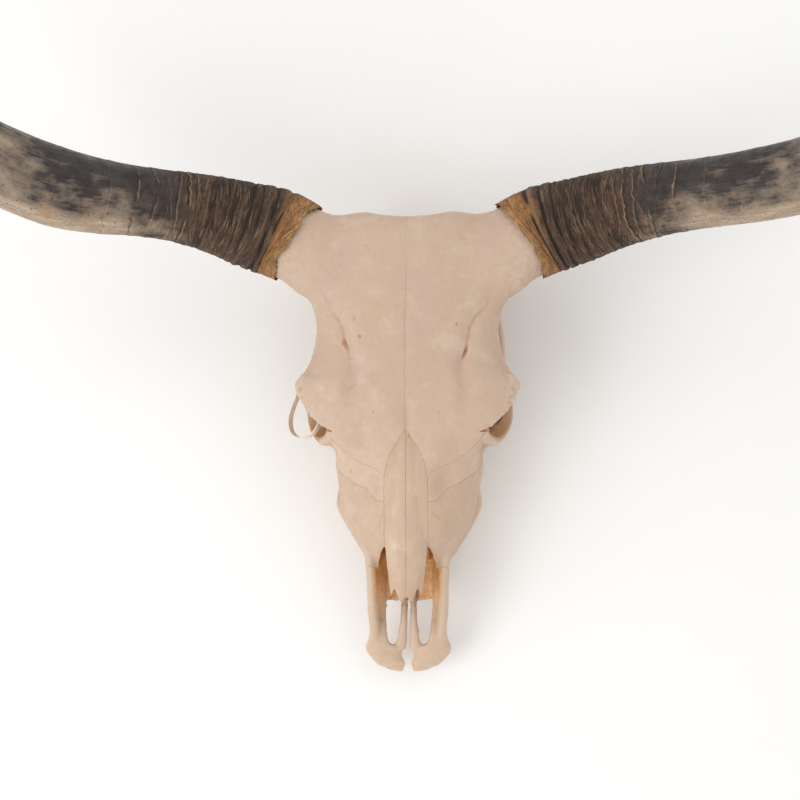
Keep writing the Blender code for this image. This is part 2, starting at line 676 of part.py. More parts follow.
def whole_bone(parts, cutters):
    """The skull in one piece, before it is parted into its bones."""
    forms = [
        loft("frontal_shield", FRONTAL_SHIELD, parts, 48, 48),
        loft("braincase", BRAINCASE, parts),
        loft("nuchal_plate", NUCHAL_PLATE, parts),
        loft("skull_base", SKULL_BASE, parts),
        loft("face", FACE, parts, 40, 40),
        *tubes("horn_core", HORN_CORE, parts, along=20, around=24, taper=1.0),
        *tubes("hyoid_process", HYOID_PROCESS, parts, along=8),
        *tubes("ear_tube", EAR_TUBE, parts, along=8),
        *tubes("paracondylar", PARACONDYLAR, parts),
        *tubes("cheek_arch", CHEEK_ARCH, parts, along=24),
        *tubes("postorbital_bar", POSTORBITAL_BAR, parts),
        *tubes("orbit_rim", ORBIT_RIM, parts, along=24),
        *tubes("facial_crest", FACIAL_CREST, parts, along=24),
        *tubes("tooth_ridge", TOOTH_RIDGE, parts, along=24),
        *tubes("pterygoid", PTERYGOID, parts),
        *tubes("incisive_rim", INCISIVE_RIM, parts, along=24),
        *tubes("incisive_wall", INCISIVE_WALL, parts, along=20),
        *ellipsoids("condyle", (31, -2, -154), (19, 17, 26), parts, (20, 0, -25)),
        *ellipsoids("base_tubercle", (16, -74, -167), (11, 15, 9), parts, (-8, 0, 14)),
        *ellipsoids("ear_capsule", (49, -70, -144), (14, 22, 22), parts, (-8, 0, 12)),
        *ellipsoids("jaw_joint", (84, -92, -107), (24, 15, 8), parts, (0, 0, 10)),
    ]
    bone = eased(merged(joined("bone", forms, parts), VOXEL))
    openings = [
        loft("nose_cavity", NOSE_CAVITY, cutters),
        loft("nose_opening", NOSE_OPENING, cutters),
        loft("choana", CHOANA, cutters),
        *tubes("eye_socket", EYE_SOCKET, cutters, along=14, around=24, taper=1.0),
        tube("spinal_hole", SPINAL_HOLE, cutters, along=12, around=20, taper=1.0),
        *tubes("ear_hole", EAR_HOLE, cutters, along=6, around=12, taper=1.0),
    ]
    for opening in openings:
        boolean(bone, opening, "DIFFERENCE")
    thin = [
        *tubes("incisive_body", INCISIVE_BODY, parts, along=20, around=24, square=True),
        *tubes("palatine_rod", PALATINE_ROD, parts),
        *tubes("upper_scroll", UPPER_SCROLL, parts, along=12),
        *tubes("lower_scroll", LOWER_SCROLL, parts, along=12),
        loft("palate_front", PALATE_FRONT, parts, 12, 24),
        loft("nasal_roof", NASAL_ROOF, parts, 30, 28),
    ]
    bone = merged(joined("bone", [bone, *thin], parts), VOXEL)
    soften = bone.modifiers.new("Soften", "SMOOTH")
    soften.factor = 0.5
    soften.iterations = 3
    applied(bone)
    thin_out = bone.modifiers.new("Thin out", "DECIMATE")
    thin_out.ratio = BONE_FACES / (2.0 * len(bone.data.polygons))
    applied(bone)
    slit = region("rod_slit", [(ROD_SLIT_PLAN, (-120, -60), "xyz")], cutters)
    boolean(bone, slit, "DIFFERENCE")
    rows = [
        tooth(f"tooth_{side}_{k}", row, side, cutters)
        for side in (1, -1)
        for k, row in enumerate(CHEEK_TEETH)
    ]
    return boolean(bone, joined("teeth", rows, cutters), "UNION")


def part_bones(bone, parts, cutters):
    """Parts the bone along its sutures. Each region takes its bone out of what is left."""
    gap = SUTURE_GAP / UNIT
    regions = {
        "nasal": [(NASAL_PLAN, (-30, 30), "xyz")],
        "incisive": [(INCISIVE_SIDE, (-80, 80), "yzx")],
        "lacrimal": [(LACRIMAL_PLAN, (-70, 30), "xyz")],
        "frontal": [(FRONTAL_SIDE, (-160, 160), "yzx"), (FRONTAL_NOSE, (-38, 60), "xyz"),
                    (FRONTAL_FRONT, (-106, 60), "xzy")],
        "zygomatic": [(ZYGOMATIC_PLAN, (-125, -64.5), "xyz")],
        "maxilla": [(MAXILLA_PLAN, (-200, 40), "xyz")],
        "temporal": [(TEMPORAL_PLAN, (-210, -40), "xyz")],
        "occipital": [(OCCIPITAL_PLAN, (-220, 40), "xyz")],
    }
    edge, far = gap / 2, 400.0
    square = ((edge, -700), (edge, far), (far, far), (far, -700))
    halves = {
        "_left": prism("left_half", square, (-far, far), "xyz", cutters),
        "_right": prism("right_half", square, (-far, far), "xyz", cutters, side=-1),
    }
    bones = []
    for name, prisms in regions.items():
        pair = copy_of(bone, name, parts)
        boolean(pair, region("region_" + name, prisms, cutters), "INTERSECT")
        boolean(bone, region("clear_of_" + name, prisms, cutters, gap), "DIFFERENCE")
        if name == "occipital":
            bones.append(largest_island(pair))
            continue
        for label, half in halves.items():
            piece = copy_of(pair, name + label, parts)
            bones.append(largest_island(boolean(piece, half, "INTERSECT")))
        bpy.data.objects.remove(pair)
    bone.name = "sphenoid_palatine"
    bones.append(largest_island(bone))
    return bones


def horn_sheath(name, rows, side, collection, step=7, around=16):
    """A sheath with a socket over the bony core, a leaning rim and a fine tip."""
    table = smooth_rows(rows, 31 * step + 1)
    ahead, up, across = frames(table[:, :3])
    steps = np.linalg.norm(np.diff(table[:, :3], axis=0), axis=1)
    travel = np.concatenate([[0.0], np.cumsum(steps)])
    turn = np.linspace(0, 2 * math.pi, around, endpoint=False)

    def ring(k, radius):
        lean = RIM_LEAN * max(0.0, 1 - travel[k] / 90.0)
        wide = radius * np.sin(turn)
        points = table[k, :3] + np.outer(radius * 0.96 * np.cos(turn), up[k])
        points += np.outer(wide, across[k]) + np.outer(lean * wide, ahead[k])
        return points * (side, 1, 1)

    depth = int(np.searchsorted(travel, SHEATH_SOCKET))
    rings = [ring(depth, table[depth, 3] * 0.6)]
    rings += [ring(k, table[k, 3] - SHEATH_WALL) for k in (depth - 1, depth // 2, 0)]
    rings += [ring(k, table[k, 3]) for k in range(0, len(table), step)]
    return skin(name, rings, collection)


def plastic_band(name, collection, steps=44):
    """A flat band bent into a closed loop, its width standing across the loop's plane."""
    path = np.array(BAND_PATH, float)
    path = smooth_rows(np.vstack([path, path, path]), steps * 3 + 1)[steps : 2 * steps]
    ahead = np.roll(path, -1, axis=0) - np.roll(path, 1, axis=0)
    ahead /= np.linalg.norm(ahead, axis=1)[:, None]
    centre = path.mean(axis=0)
    axis = np.cross(path - centre, ahead).sum(axis=0)
    axis /= np.linalg.norm(axis)
    rings = []
    for point, along in zip(path, ahead):
        out = np.cross(along, axis)
        out /= np.linalg.norm(out)
        wide, thick = axis * BAND_WIDTH / 2, out * BAND_THICKNESS / 2
        rings.append(np.array([point + wide + thick, point - wide + thick,
                               point - wide - thick, point + wide - thick]))
    return skin(name, rings, collection, loop=True)


def material(name, colour, roughness):
    made = bpy.data.materials.new(name)
    made.use_nodes = True
    shader = made.node_tree.nodes["Principled BSDF"]
    shader.inputs["Base Color"].default_value = (*colour, 1.0)
    shader.inputs["Roughness"].default_value = roughness
    shader.inputs["Metallic"].default_value = 0.0
    made.diffuse_color = (*colour, 1.0)
    return made


def rest(objects, parts):
    """Tips the skull to its resting slope, on the floor, centred over the origin."""
    pose = bpy.data.objects.new("skull_pose", None)
    parts.objects.link(pose)
    pose.rotation_euler = (REST_PITCH, 0.0, 0.0)
    turn = Matrix.Rotation(REST_PITCH, 3, "X")
    points = np.array([turn @ v.co for obj in objects for v in obj.data.vertices])
    low, high = points.min(axis=0), points.max(axis=0)
    pose.location = (-(low[0] + high[0]) / 2, -(low[1] + high[1]) / 2, -low[2])
    for obj in objects:
        obj.parent = pose
    return pose


def main():
    for obj in list(bpy.data.objects):
        bpy.data.objects.remove(obj)
    parts = bpy.data.collections.new("bull_skull")
    cutters = bpy.data.collections.new("cutters")
    for collection in (parts, cutters):
        bpy.context.scene.collection.children.link(collection)

    bones = part_bones(whole_bone(parts, cutters), parts, cutters)
    sheaths = [
        horn_sheath("horn_sheath_left", HORN_LEFT, 1, parts),
        horn_sheath("horn_sheath_right", HORN_RIGHT, -1, parts),
    ]
    band = plastic_band("plastic_band", parts)

    looks = {
        "nasal": material("Nasal bone", BONE_PALE, 0.5),
        "incisive": material("Incisive bone", BONE_PALE, 0.5),
        "maxilla": material("Jaw bone with teeth", TOOTH_BONE, 0.5),
    }
    bone_look = material("Bone", BONE, 0.5)
    for obj in bones:
        swayed(obj)
        obj.data.materials.clear()
        obj.data.materials.append(looks.get(obj.name.split("_")[0], bone_look))
    for obj in sheaths:
        obj.data.materials.append(material("Horn " + obj.name, HORN, 0.45))
    band.data.materials.append(material("Plastic band", PLASTIC, 0.4))
    for obj in (*bones, *sheaths, band):
        obj.data.shade_smooth()
        obj.data.set_sharp_from_angle(angle=math.radians(50))
    rest([*bones, *sheaths, band], parts)
    for obj in cutters.objects:
        obj.hide_render = True
        obj.display_type = "WIRE"


main()
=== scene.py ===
"""Skull of a long-horned bull for a museum shelf: bone parted along its sutures, two horn sheaths,
cheek teeth and a plastic band.

Laid out as an add-on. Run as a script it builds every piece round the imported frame, in metres.
"""

import math
from itertools import product

import bmesh
import bpy
import numpy as np
from bpy.props import FloatProperty, FloatVectorProperty, IntProperty, PointerProperty
from mathutils import Matrix, Vector


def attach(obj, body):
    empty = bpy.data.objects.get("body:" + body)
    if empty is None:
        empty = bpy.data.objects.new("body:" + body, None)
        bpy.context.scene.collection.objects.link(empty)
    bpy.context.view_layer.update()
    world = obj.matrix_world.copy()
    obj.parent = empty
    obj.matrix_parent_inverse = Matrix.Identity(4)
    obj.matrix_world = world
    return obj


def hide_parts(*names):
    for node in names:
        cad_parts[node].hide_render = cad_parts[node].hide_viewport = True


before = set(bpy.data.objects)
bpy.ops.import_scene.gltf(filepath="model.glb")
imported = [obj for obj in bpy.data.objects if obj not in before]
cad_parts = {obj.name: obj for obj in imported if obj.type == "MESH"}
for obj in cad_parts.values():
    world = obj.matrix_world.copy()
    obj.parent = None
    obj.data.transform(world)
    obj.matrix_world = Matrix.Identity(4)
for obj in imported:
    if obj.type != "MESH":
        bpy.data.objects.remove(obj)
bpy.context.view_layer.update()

bl_info = {
    "name": "Long-horned bull skull",
    "version": (1, 0, 0),
    "blender": (4, 5, 0),
    "location": "View3D > Sidebar > Skull",
    "description": "Builds a weathered bull skull with its horn sheaths, teeth and band",
    "category": "Object",
}

# The skull's own frame is in millimetres: x across, y from the poll to the nose (negative),
# z up from the flat of the forehead. PLACE lays it down on the floor.
REST_PITCH = math.radians(9.1)
PLACE = Matrix.Translation((-0.002522, 0.187246, 0.204033)) @ Matrix.Rotation(REST_PITCH, 4, "X")
# Where the camera looks at the skull, in metres of the skull's own frame
CAMERA_AIM = (-0.0065, -0.207, 0.0)
# How far the floor reaches each way
FLOOR_REACH = 6000
# The horn sheath: its wall, the depth of its socket, how far its bark starts below the smooth
# form, and the lean of its rim
SHEATH_WALL, SHEATH_SOCKET, BARK_INSET, RIM_LEAN = 2.8, 34.0, 0.45, 0.12
# Radius of the cylinder on which noise is read round a horn, and of the one its finish is read on
NOISE_RADIUS, FINISH_RADIUS = 22, 45
# Sideways shift of the face, and of the nose beyond it; dip and swell of the poll's edge
FACE_SWAY, NOSE_SWAY = 0.8, 1.6
POLL_DIP, POLL_SWELL = 3.4, 1.0

# Sections across the midline: y, half width, top, widest, bottom, and then squareness above and
# below and the droop, which are left out where they end as in SECTION
SECTION = (2.4, 2.2, 0)
FRONTAL_SHIELD = (
    (1.8, 80, -14, -24, -36, 2.6, 2.2, 4), (-4, 89, -6, -24, -46, 2.8, 2.2, 5),
    (-14, 94, -1, -24, -52, 3, 2.2, 6), (-40, 98, 0, -24, -54, 3, 2.2, 6),
    (-70, 106, 0, -24, -50, 3, 2.2, 9), (-93, 111, 0, -24, -46, 3, 2.2, 12),
    (-106, 109, 0, -23, -45, 3, 2.2, 14), (-120, 105.5, 0, -22, -43, 3, 2.2, 16),
    (-140, 104.5, 0, -18, -38, 3, 2.2, 18), (-162, 109.5, 0, -14, -30, 3, 2.2, 18),
    (-176, 117, 0, -12, -27, 3, 2.2, 17), (-188, 127, 0, -11, -25, 3, 2.2, 17),
    (-198, 125.5, -0.5, -10, -24, 3, 2.2, 16), (-210, 119, -1, -10, -24, 3, 2.2, 14),
    (-224, 110, -2, -10, -24, 3, 2.2, 12), (-236, 97, -3, -12, -26, 2.6, 2.2, 9),
    (-250, 84, -5, -17, -32, 2.4, 2.2, 6), (-263, 80, -9, -26, -44, 2.4, 2.2, 5),
    (-276, 76, -16, -38, -54, 2.4, 2.2, 4),
)
BRAINCASE = (
    (-6, 60, -30, -80, -128), (-30, 74, -20, -82, -148), (-70, 72, -15, -80, -150),
    (-110, 61, -12, -75, -143), (-150, 48, -10, -65, -132), (-190, 40, -10, -60, -122),
    (-228, 44, -10, -60, -118),
)
NUCHAL_PLATE = (
    (-3, 76, -36, -92, -136, 2.6, 2.4), (-10, 92, -28, -94, -146, 2.6, 2.4),
    (-28, 104, -24, -98, -150, 2.6), (-48, 98, -32, -98, -142), (-66, 82, -46, -95, -130, 2.2),
)
SKULL_BASE = (
    (4, 30, -156, -166, -175, 2.2, 2.4), (-18, 33, -146, -164, -176, 2.2, 2.6),
    (-45, 34, -138, -158, -172, 2.2, 2.6), (-78, 28, -133, -152, -167, 2.2, 2.4),
    (-110, 20, -126, -148, -159, 2.2), (-160, 15, -115, -138, -150, 2.2),
    (-200, 10, -105, -125, -136, 2.2),
)
FACE = (
    (-195, 44, -4, -60, -112, 2.5, 2.3), (-225, 62, -4, -62, -118, 2.5, 2.3),
    (-243, 80, -4, -62, -120, 2.5, 2.3), (-258, 83.5, -5, -64, -120, 2.5, 2.3),
    (-285, 81.5, -7, -70, -118, 2.3, 2.3), (-310, 79.5, -9, -74, -116, 2.3, 2.3),
    (-332, 77.5, -11, -76, -113, 2.2, 2.3), (-350, 70.5, -13, -76, -109, 2.2, 2.3),
    (-364, 62.5, -16, -74, -105, 2.2, 2.3), (-376, 55.5, -22, -71, -101, 2.2, 2.3),
    (-388, 50.5, -31, -69, -98, 2.2, 2.3), (-398, 47, -40, -68, -95, 2.2, 2.3),
)
PALATE_FRONT = (
    (-372, 40, -86, -92, -99, 3, 2.4), (-400, 34, -86, -91, -97, 3, 2.4),
    (-425, 31, -86, -90, -95, 3, 2.4), (-440, 27, -86, -89, -93, 3, 2.4),
)
NASAL_ROOF = (
    (-240, 6, -3.5, -6, -12, 2.2, 2.2, 1), (-262, 15, -4, -7, -13, 2.2, 2.2, 4),
    (-284, 21.5, -6, -9, -14, 2.4, 2.4, 7), (-330, 23.8, -9, -12, -15.5, 2.8, 2.8, 8),
    (-367, 24.2, -12, -15, -18.5, 3.2, 3.2, 7.5), (-395, 22, -14, -17, -20, 3.4, 3.4, 6.5),
    (-418, 19.6, -16, -19, -21.8, 3.4, 3.4, 5.5), (-441, 18.4, -18.6, -21, -23.6, 3.4, 3.4, 4.5),
)
NOSE_CAVITY = (
    (-292, 22, -24, -60, -92, 2.4, 2.4), (-310, 34, -20, -62, -97, 2.4, 2.4),
    (-340, 38, -19, -62, -95, 2.4, 2.4), (-366, 36, -20, -60, -92, 2.4, 2.4),
    (-390, 33, -20, -58, -88, 2.6, 2.6), (-420, 31, -20, -56, -86, 2.6, 3),
    (-470, 30, -20, -56, -86, 2.6, 3),
)
NOSE_OPENING = (
    (-364, 20, 20, -20, -50, 4, 2.4), (-376, 27, 20, -20, -70, 4, 2.4),
    (-392, 32, 20, -20, -80, 4, 2.4), (-420, 35, 20, -20, -84, 4, 2.4),
    (-470, 35, 20, -20, -84, 4, 2.4),
)
CHOANA = (
    (-285, 14, -84, -96, -108, 2.2), (-262, 17, -88, -104, -125, 2.2),
    (-235, 18.5, -98, -120, -150, 2.2), (-205, 18.5, -112, -140, -170, 2.2),
    (-185, 18, -126, -150, -180, 2.2),
)

# Ovals along a path on the +X side: x, y, z, half height, half width, and the roll in degrees
# where it changes
HORN_CORE = (
    (40, -56, -30, 20, 60), (62, -53, -32, 27, 59), (80, -50, -35, 33, 56), (95, -45, -38, 37, 52),
    (110, -37, -40, 39.5, 48), (124, -29.5, -41.5, 42, 45.5), (137, -23, -41, 42, 45.5),
    (149, -17.5, -39.5, 41.5, 45),
)
HYOID_PROCESS = ((54, -74, -146, 15, 6), (54, -82, -162, 11, 5), (52, -90, -173, 6, 3.5))
EAR_TUBE = ((66, -68, -112, 13, 13), (88, -64, -103, 12, 12), (104, -61, -97, 11, 11))
PARACONDYLAR = (
    (66, -14, -108, 24, 13), (66, -17, -140, 21, 10), (64, -22, -170, 16, 8),
    (59, -28, -192, 10, 6.5), (57, -30, -201, 6, 5),
)
CHEEK_ARCH = (
    (66, -64, -98, 15, 12), (84, -74, -98, 15, 10), (93, -90, -98, 13, 8.5),
    (99.5, -112, -98, 9.5, 6), (105.5, -142, -95, 9, 5), (106, -168, -90, 11, 5),
    (109, -190, -88, 12, 5.5), (112, -206, -89, 11, 6),
)
POSTORBITAL_BAR = (
    (112, -182, -20, 9, 7), (114, -187, -42, 8.5, 5.5), (113, -191, -63, 8.5, 5.5),
    (111, -195, -88, 12, 6),
)
ORBIT_RIM = (
    (111, -194, -88, 11, 5.5), (113.5, -212, -91, 11, 6), (112.5, -230, -92, 12, 7),
    (106, -244, -86, 12, 8), (97, -251.5, -70, 12, 8), (90, -250, -54, 12, 8),
    (85, -246, -40, 11, 8), (84, -240, -26, 10, 8),
)
FACIAL_CREST = (
    (106, -238, -92, 15, 9), (97, -248.5, -92, 16, 9), (85.5, -254.5, -93, 18, 9.5),
    (76.5, -265, -93, 19, 10), (76, -285, -92, 18, 10), (73, -308, -89, 13, 9.5),
    (75.5, -330, -86, 10, 9), (70, -345, -85, 8, 7.5), (61.5, -360, -86, 8, 7.5),
    (53, -375, -87, 8, 7), (45, -390, -87, 7, 6.5),
)
TOOTH_RIDGE = (
    (52, -232, -102, 16, 13), (58, -252, -108, 22, 14), (59, -285, -108, 22, 14),
    (55, -318, -105, 19, 13), (48, -350, -99, 17, 12), (41, -378, -93, 15, 10),
    (36, -398, -89, 11, 8),
)
PTERYGOID = (
    (24, -262, -112, 18, 4), (23, -235, -118, 20, 3.5), (22.5, -205, -124, 22, 3.5),
    (22, -185, -134, 20, 3.2), (22, -170, -132, 15, 4), (20, -150, -130, 10, 5),
)
INCISIVE_RIM = (
    (46, -362, -46, 10, 7), (43, -384, -47, 9, 6.5), (41, -408, -50, 8, 6.5),
    (40.5, -436, -58, 8, 6.5), (39.5, -456, -67, 7, 6.5), (38.5, -474, -76.5, 6.5, 6.5),
    (40, -488, -84, 5, 7),
)
INCISIVE_WALL = (
    (42, -362, -72, 26, 6.5, -14), (37, -386, -74, 23, 6, -16), (34, -412, -76, 19, 5.5, -18),
    (33, -438, -80, 13, 5.5, -16), (33.5, -460, -85, 8, 7, -10), (34, -475, -87, 6, 10, 0),
)
INCISIVE_BODY = (
    (35, -462, -79, 4.5, 7.5), (34.5, -474, -83, 6, 9.3), (34, -484, -85.3, 6.8, 12.8),
    (32, -491, -87, 8, 17.8), (28.1, -496, -88, 8.5, 22.1), (28.2, -500, -89, 8.5, 21.2),
    (26.2, -506, -90, 8.5, 19), (22.7, -511, -91.5, 8, 18.5), (19.3, -516, -92.5, 6.5, 16.7),
    (15.7, -520.5, -93.5, 5, 13.3), (12, -525, -94, 3.4, 10),
)
PALATINE_ROD = (
    (9.5, -498, -88, 5, 7.5), (8, -486, -87, 5, 6.5), (6.2, -470, -86, 4.5, 4.8),
    (5.4, -450, -85.5, 5, 4.1), (5.2, -430, -85, 5, 4), (5, -395, -86, 5, 4),
)
UPPER_SCROLL = ((13, -330, -40, 14, 7), (15, -360, -42, 12, 6), (19, -402, -50, 3, 2))
LOWER_SCROLL = ((20, -330, -74, 12, 7), (22, -360, -74, 11, 6), (22, -392, -78, 6, 4))
EYE_SOCKET = (
    (58, -209, -66, 16, 14), (74, -216, -62, 23, 22), (92, -221, -58, 28, 26),
    (110, -223, -57, 31, 27), (150, -224, -54, 38, 31),
)
SPINAL_HOLE = (
    (0, 40, -150, 19, 18), (0, 10, -150, 19, 18), (0, -20, -146, 17, 17), (0, -48, -138, 12, 12),
)
EAR_HOLE = ((84, -65, -104, 5, 5), (96, -62, -100, 5.5, 5.5), (125, -57, -90, 6, 6))

# The two horns differ a little: x outward, y, z, radius
HORN_LEFT = (
    (126, -28, -42, 50), (152, -16, -40, 51), (190, -6, -32, 48.5), (230, 5, -19, 44),
    (280, 13.5, 1, 40), (330, 18, 23, 38.5), (380, 22.5, 48, 39.5), (425, 30, 71, 40),
    (468, 45, 96, 38.5), (515, 68, 128, 34.5), (562, 94, 164, 29), (607, 118, 200, 22),
    (647, 137, 233, 14.5), (678, 150, 260, 7.5), (696, 157, 276, 2.5),
)
HORN_RIGHT = (
    (126, -28, -42, 49.5), (150, -16.5, -41, 51), (180, -8, -34, 49), (215, 2, -24, 44),
    (255, 10, -10, 40), (295, 14.5, 7, 39), (336, 18, 26, 41.5), (376, 25, 45, 44),
    (414, 38, 65, 43.5), (456, 58, 90, 41.5), (502, 83, 121, 37.5), (550, 109, 156, 31.5),
    (597, 132, 192, 24), (640, 151, 226, 15.5), (672, 163, 252, 8), (691, 170, 268, 2.5),
)

# Cheek teeth, back to front: x, y, length along the row, width, gum height, chewing height
CHEEK_TEETH = (
    (61, -262, 29.5, 21, -118, -155), (60, -290, 25.5, 22, -118, -158),
    (57, -315, 22.5, 21, -114, -152), (53, -336, 18, 19, -110, -145),
    (48.5, -354, 16.5, 16, -106, -138), (44, -371, 15, 13, -102, -131),
)

# Outlines along which the bones part, for the +X side or, in the y-z plane, seen from the side.
# The free end of a nasal bone has a prong outside, a notch, and a long tip beside the midline.
NASAL_PLAN = (
    (0, -239), (1, -240), (7, -250), (15.5, -263), (21.5, -278), (24.5, -296), (24.7, -366),
    (23, -384), (20.5, -405), (17.2, -426.5), (15.6, -423), (13.4, -418.5), (11.4, -421),
    (8.8, -428.4), (7, -432.6), (5, -434), (3.6, -432.4), (1.8, -428.4), (0, -425.6),
)
LACRIMAL_PLAN = (
    (24, -292.5), (32, -284.5), (41, -281), (52, -276.5), (62, -271), (78, -258), (88, -243),
    (120, -243), (120, -264), (92, -277), (76, -290), (60, -300), (46, -306), (34, -320),
    (24, -320),
)
INCISIVE_SIDE = (
    (-384, 20), (-384, -22), (-400, -46), (-430, -76), (-452, -88), (-452, -140), (-600, -140),
    (-600, 20),
)
FRONTAL_SIDE = (
    (-104, 40), (-104, -50), (-150, -50), (-170, -64), (-206, -64), (-216, -42), (-253, -32),
    (-253, 40),
)
FRONTAL_NOSE = ((0, -236), (92, -236), (92, -250), (70, -274), (44, -290), (24, -298), (0, -298))
FRONTAL_FRONT = (
    (0, 40), (220, 40), (220, -110), (126, -110), (119, -83), (100, -79), (82, -64), (60, -50),
    (0, -46),
)
ZYGOMATIC_PLAN = (
    (66, -318), (73, -285), (73, -250), (90, -232), (98, -215), (98, -187), (150, -187),
    (150, -318),
)
ROD_SLIT_PLAN = ((0, -436), (0.9, -436), (0.9, -482), (2.6, -500), (2.6, -540), (0, -540))
MAXILLA_PLAN = ((0, -292), (29, -292), (29, -238), (130, -238), (130, -560), (0, -560))
TEMPORAL_PLAN = (
    (31, -46.5), (31, -95), (56, -102), (56, -126), (96, -150), (96, -187), (150, -187),
    (150, -46.5),
)
OCCIPITAL_PLAN = ((0, -88), (31, -88), (31, -46.5), (150, -46.5), (150, 60), (0, 60))

# Closed loop of the plastic band round the bar behind the right eye, on the -X side
BAND_PATH = (
    (-98, -187, -54), (-104, -177, -58), (-113, -174, -64), (-122, -179, -71), (-127, -189, -75),
    (-129.5, -201, -77), (-135.5, -215, -82), (-139.5, -229, -85), (-138, -241.5, -81),
    (-131, -249.5, -73), (-119.5, -250.5, -63), (-109, -245, -56), (-101.5, -233.5, -51),
    (-97.5, -219, -50), (-96, -203, -51),
)

# Marks on the skin of the bone, seen from above: x, y
BROW_GROOVES = (
    ((122, -50), (104, -64), (96, -84), (90, -103), (78, -114), (72, -126), (69, -144),
     (66, -153), (61, -165), (59, -188)),
    ((-120, -50), (-104, -66), (-95, -88), (-84, -109), (-78, -116), (-73, -127), (-70, -140),
     (-66, -149), (-63.5, -167), (-61, -188)),
)
# Along each groove: depth of the soft trench and of the sharp furrow in its inner wall
TRENCH_DEPTH = (0, 0.5, 0.9, 1.3, 1.7, 2.1, 2.5, 2.4, 2.0, 0.6)
FURROW_DEPTH = (0, 0, 0.1, 0.5, 1.0, 1.1, 1.1, 0.8, 0.2, 0)
# Holes and pits: x, y, half width, half length, depth, lean of their length towards x
HOLES = (
    (66.8, -153.5, 1.5, 7.6, 2.2, 0.40), (67.6, -151, 1.5, 3.0, 1.2, 0.30),
    (-69.6, -144, 1.7, 6.0, 2.0, -0.38), (-71.2, -143, 2.3, 2.8, 1.4, 0),
    (-51.7, -135.8, 1.4, 1.7, 1.8, 0), (56.7, -122.8, 1.1, 2.2, 1.3, 0.2),
    (-57.8, -115.8, 2.0, 2.6, 0.7, 0), (-35.5, -220.3, 1.1, 1.3, 1.0, 0),
    (36.8, -221.4, 1.0, 1.3, 0.7, 0), (-63.4, -287.1, 1.2, 2.6, 0.8, -0.5),
    (-43.8, -35.5, 1.0, 2.0, 0.8, -0.4), (-41.6, -39, 0.9, 1.4, 0.7, 0),
    (4.5, -247.5, 1.5, 1.5, 1.1, 0), (-62, -160, 1.6, 1.2, 0.6, 0), (31, -153, 1.5, 1.2, 0.5, 0),
    (66, -349, 2.6, 4.0, 4.0, 0), (-66, -349, 2.6, 4.0, 4.0, 0),
)
# Broad dents, which the material also darkens with painted shade: x, y, half width, half length,
# depth
DENTS = (
    (-37.5, -304, 13, 17, 3.4), (40.8, -302, 13, 19, 4.8), (0, -228, 10, 24, 2.2),
    (-64, -190, 10, 34, 2.4), (65, -190, 10, 34, 2.4), (0, -120, 4, 60, 0.5),
    (-50, -258, 16, 14, 1.4), (52, -258, 16, 14, 2.0), (50, -345, 10, 16, 1.4),
)
HAIRLINES = (
    ((-1, -229), (0.5, -236), (-1.5, -241)), ((108, -66), (119, -71), (131, -73)),
    ((-64, -196), (-57, -189)), ((65, -196), (60, -188)), ((-27, -336), (-30, -352)),
    ((30, -334), (38, -340)),
)
RAGGED_RIM = (
    (124, -190, -16), (122, -205, -20), (113, -221, -24), (101, -234, -29), (88, -241, -35),
    (86, -248, -50), (95, -254, -72),
)
# Where the orbit's rim runs out as a slit, and the notch between the tips of the nose
ORBIT_SLIT = ((83, -242.3), (95, -236.6), (97, -242.4), (90, -242.2))
NOSE_NOTCH = ((-2.4, -515), (-7.5, -528), (7.5, -528), (2.4, -515))
# How far each side's horn rim bows out along the horn on its upper face
RIM_BOW = {1: 9.5, -1: 4.0}
# Plates of the horn: how far off the rim each ends, and how strong its edge is
HORN_PLATES = (
    (84, 0.5), (93, 0.35), (103, 0.55), (115, 0.5), (127, 0.7), (138, 1.0), (149, 0.8),
    (161, 1.0), (175, 0.8), (196, 1.0), (228, 0.6), (286, 0.4),
)
# Furrows round the horn, which the material darkens with painted shade: how far off the rim, how
# deep and how wide
HORN_FURROWS = ((29, 1.7, 1.9), (42, 1.6, 1.9), (55, 1.2, 1.7), (66, 0.8, 1.5))


def step(values, low, high):
    """Rises from 0 at low to 1 at high on the cubic 3t^2 - 2t^3."""
    t = np.clip((np.asarray(values, float) - low) / (high - low), 0.0, 1.0)
    return t * t * (3 - 2 * t)


def power(values, exponent):
    """Each value's size raised to the exponent, with the value's sign kept."""
    return np.sign(values) * np.abs(values) ** exponent


def window(values, low, high, fall, end):
    """A step up from low to high, and one down again from fall to end."""
    return step(values, low, high) * (1 - step(values, fall, end))


def bell(away, width):
    """Falls off from 1 at 0 as e to the power -(away / width)^2."""
    return np.exp(-((away / width) ** 2))


def turns(count):
    """Even angles once round a circle."""
    return np.linspace(0, 2 * math.pi, count, endpoint=False)


def unit(vectors):
    """Each vector over its length."""
    return vectors / np.linalg.norm(vectors, axis=1)[:, None]


def folded(points):
    """Points of both sides brought to the +X side."""
    return points * np.where(points[:, :1] < 0, (-1, 1, 1), (1, 1, 1))


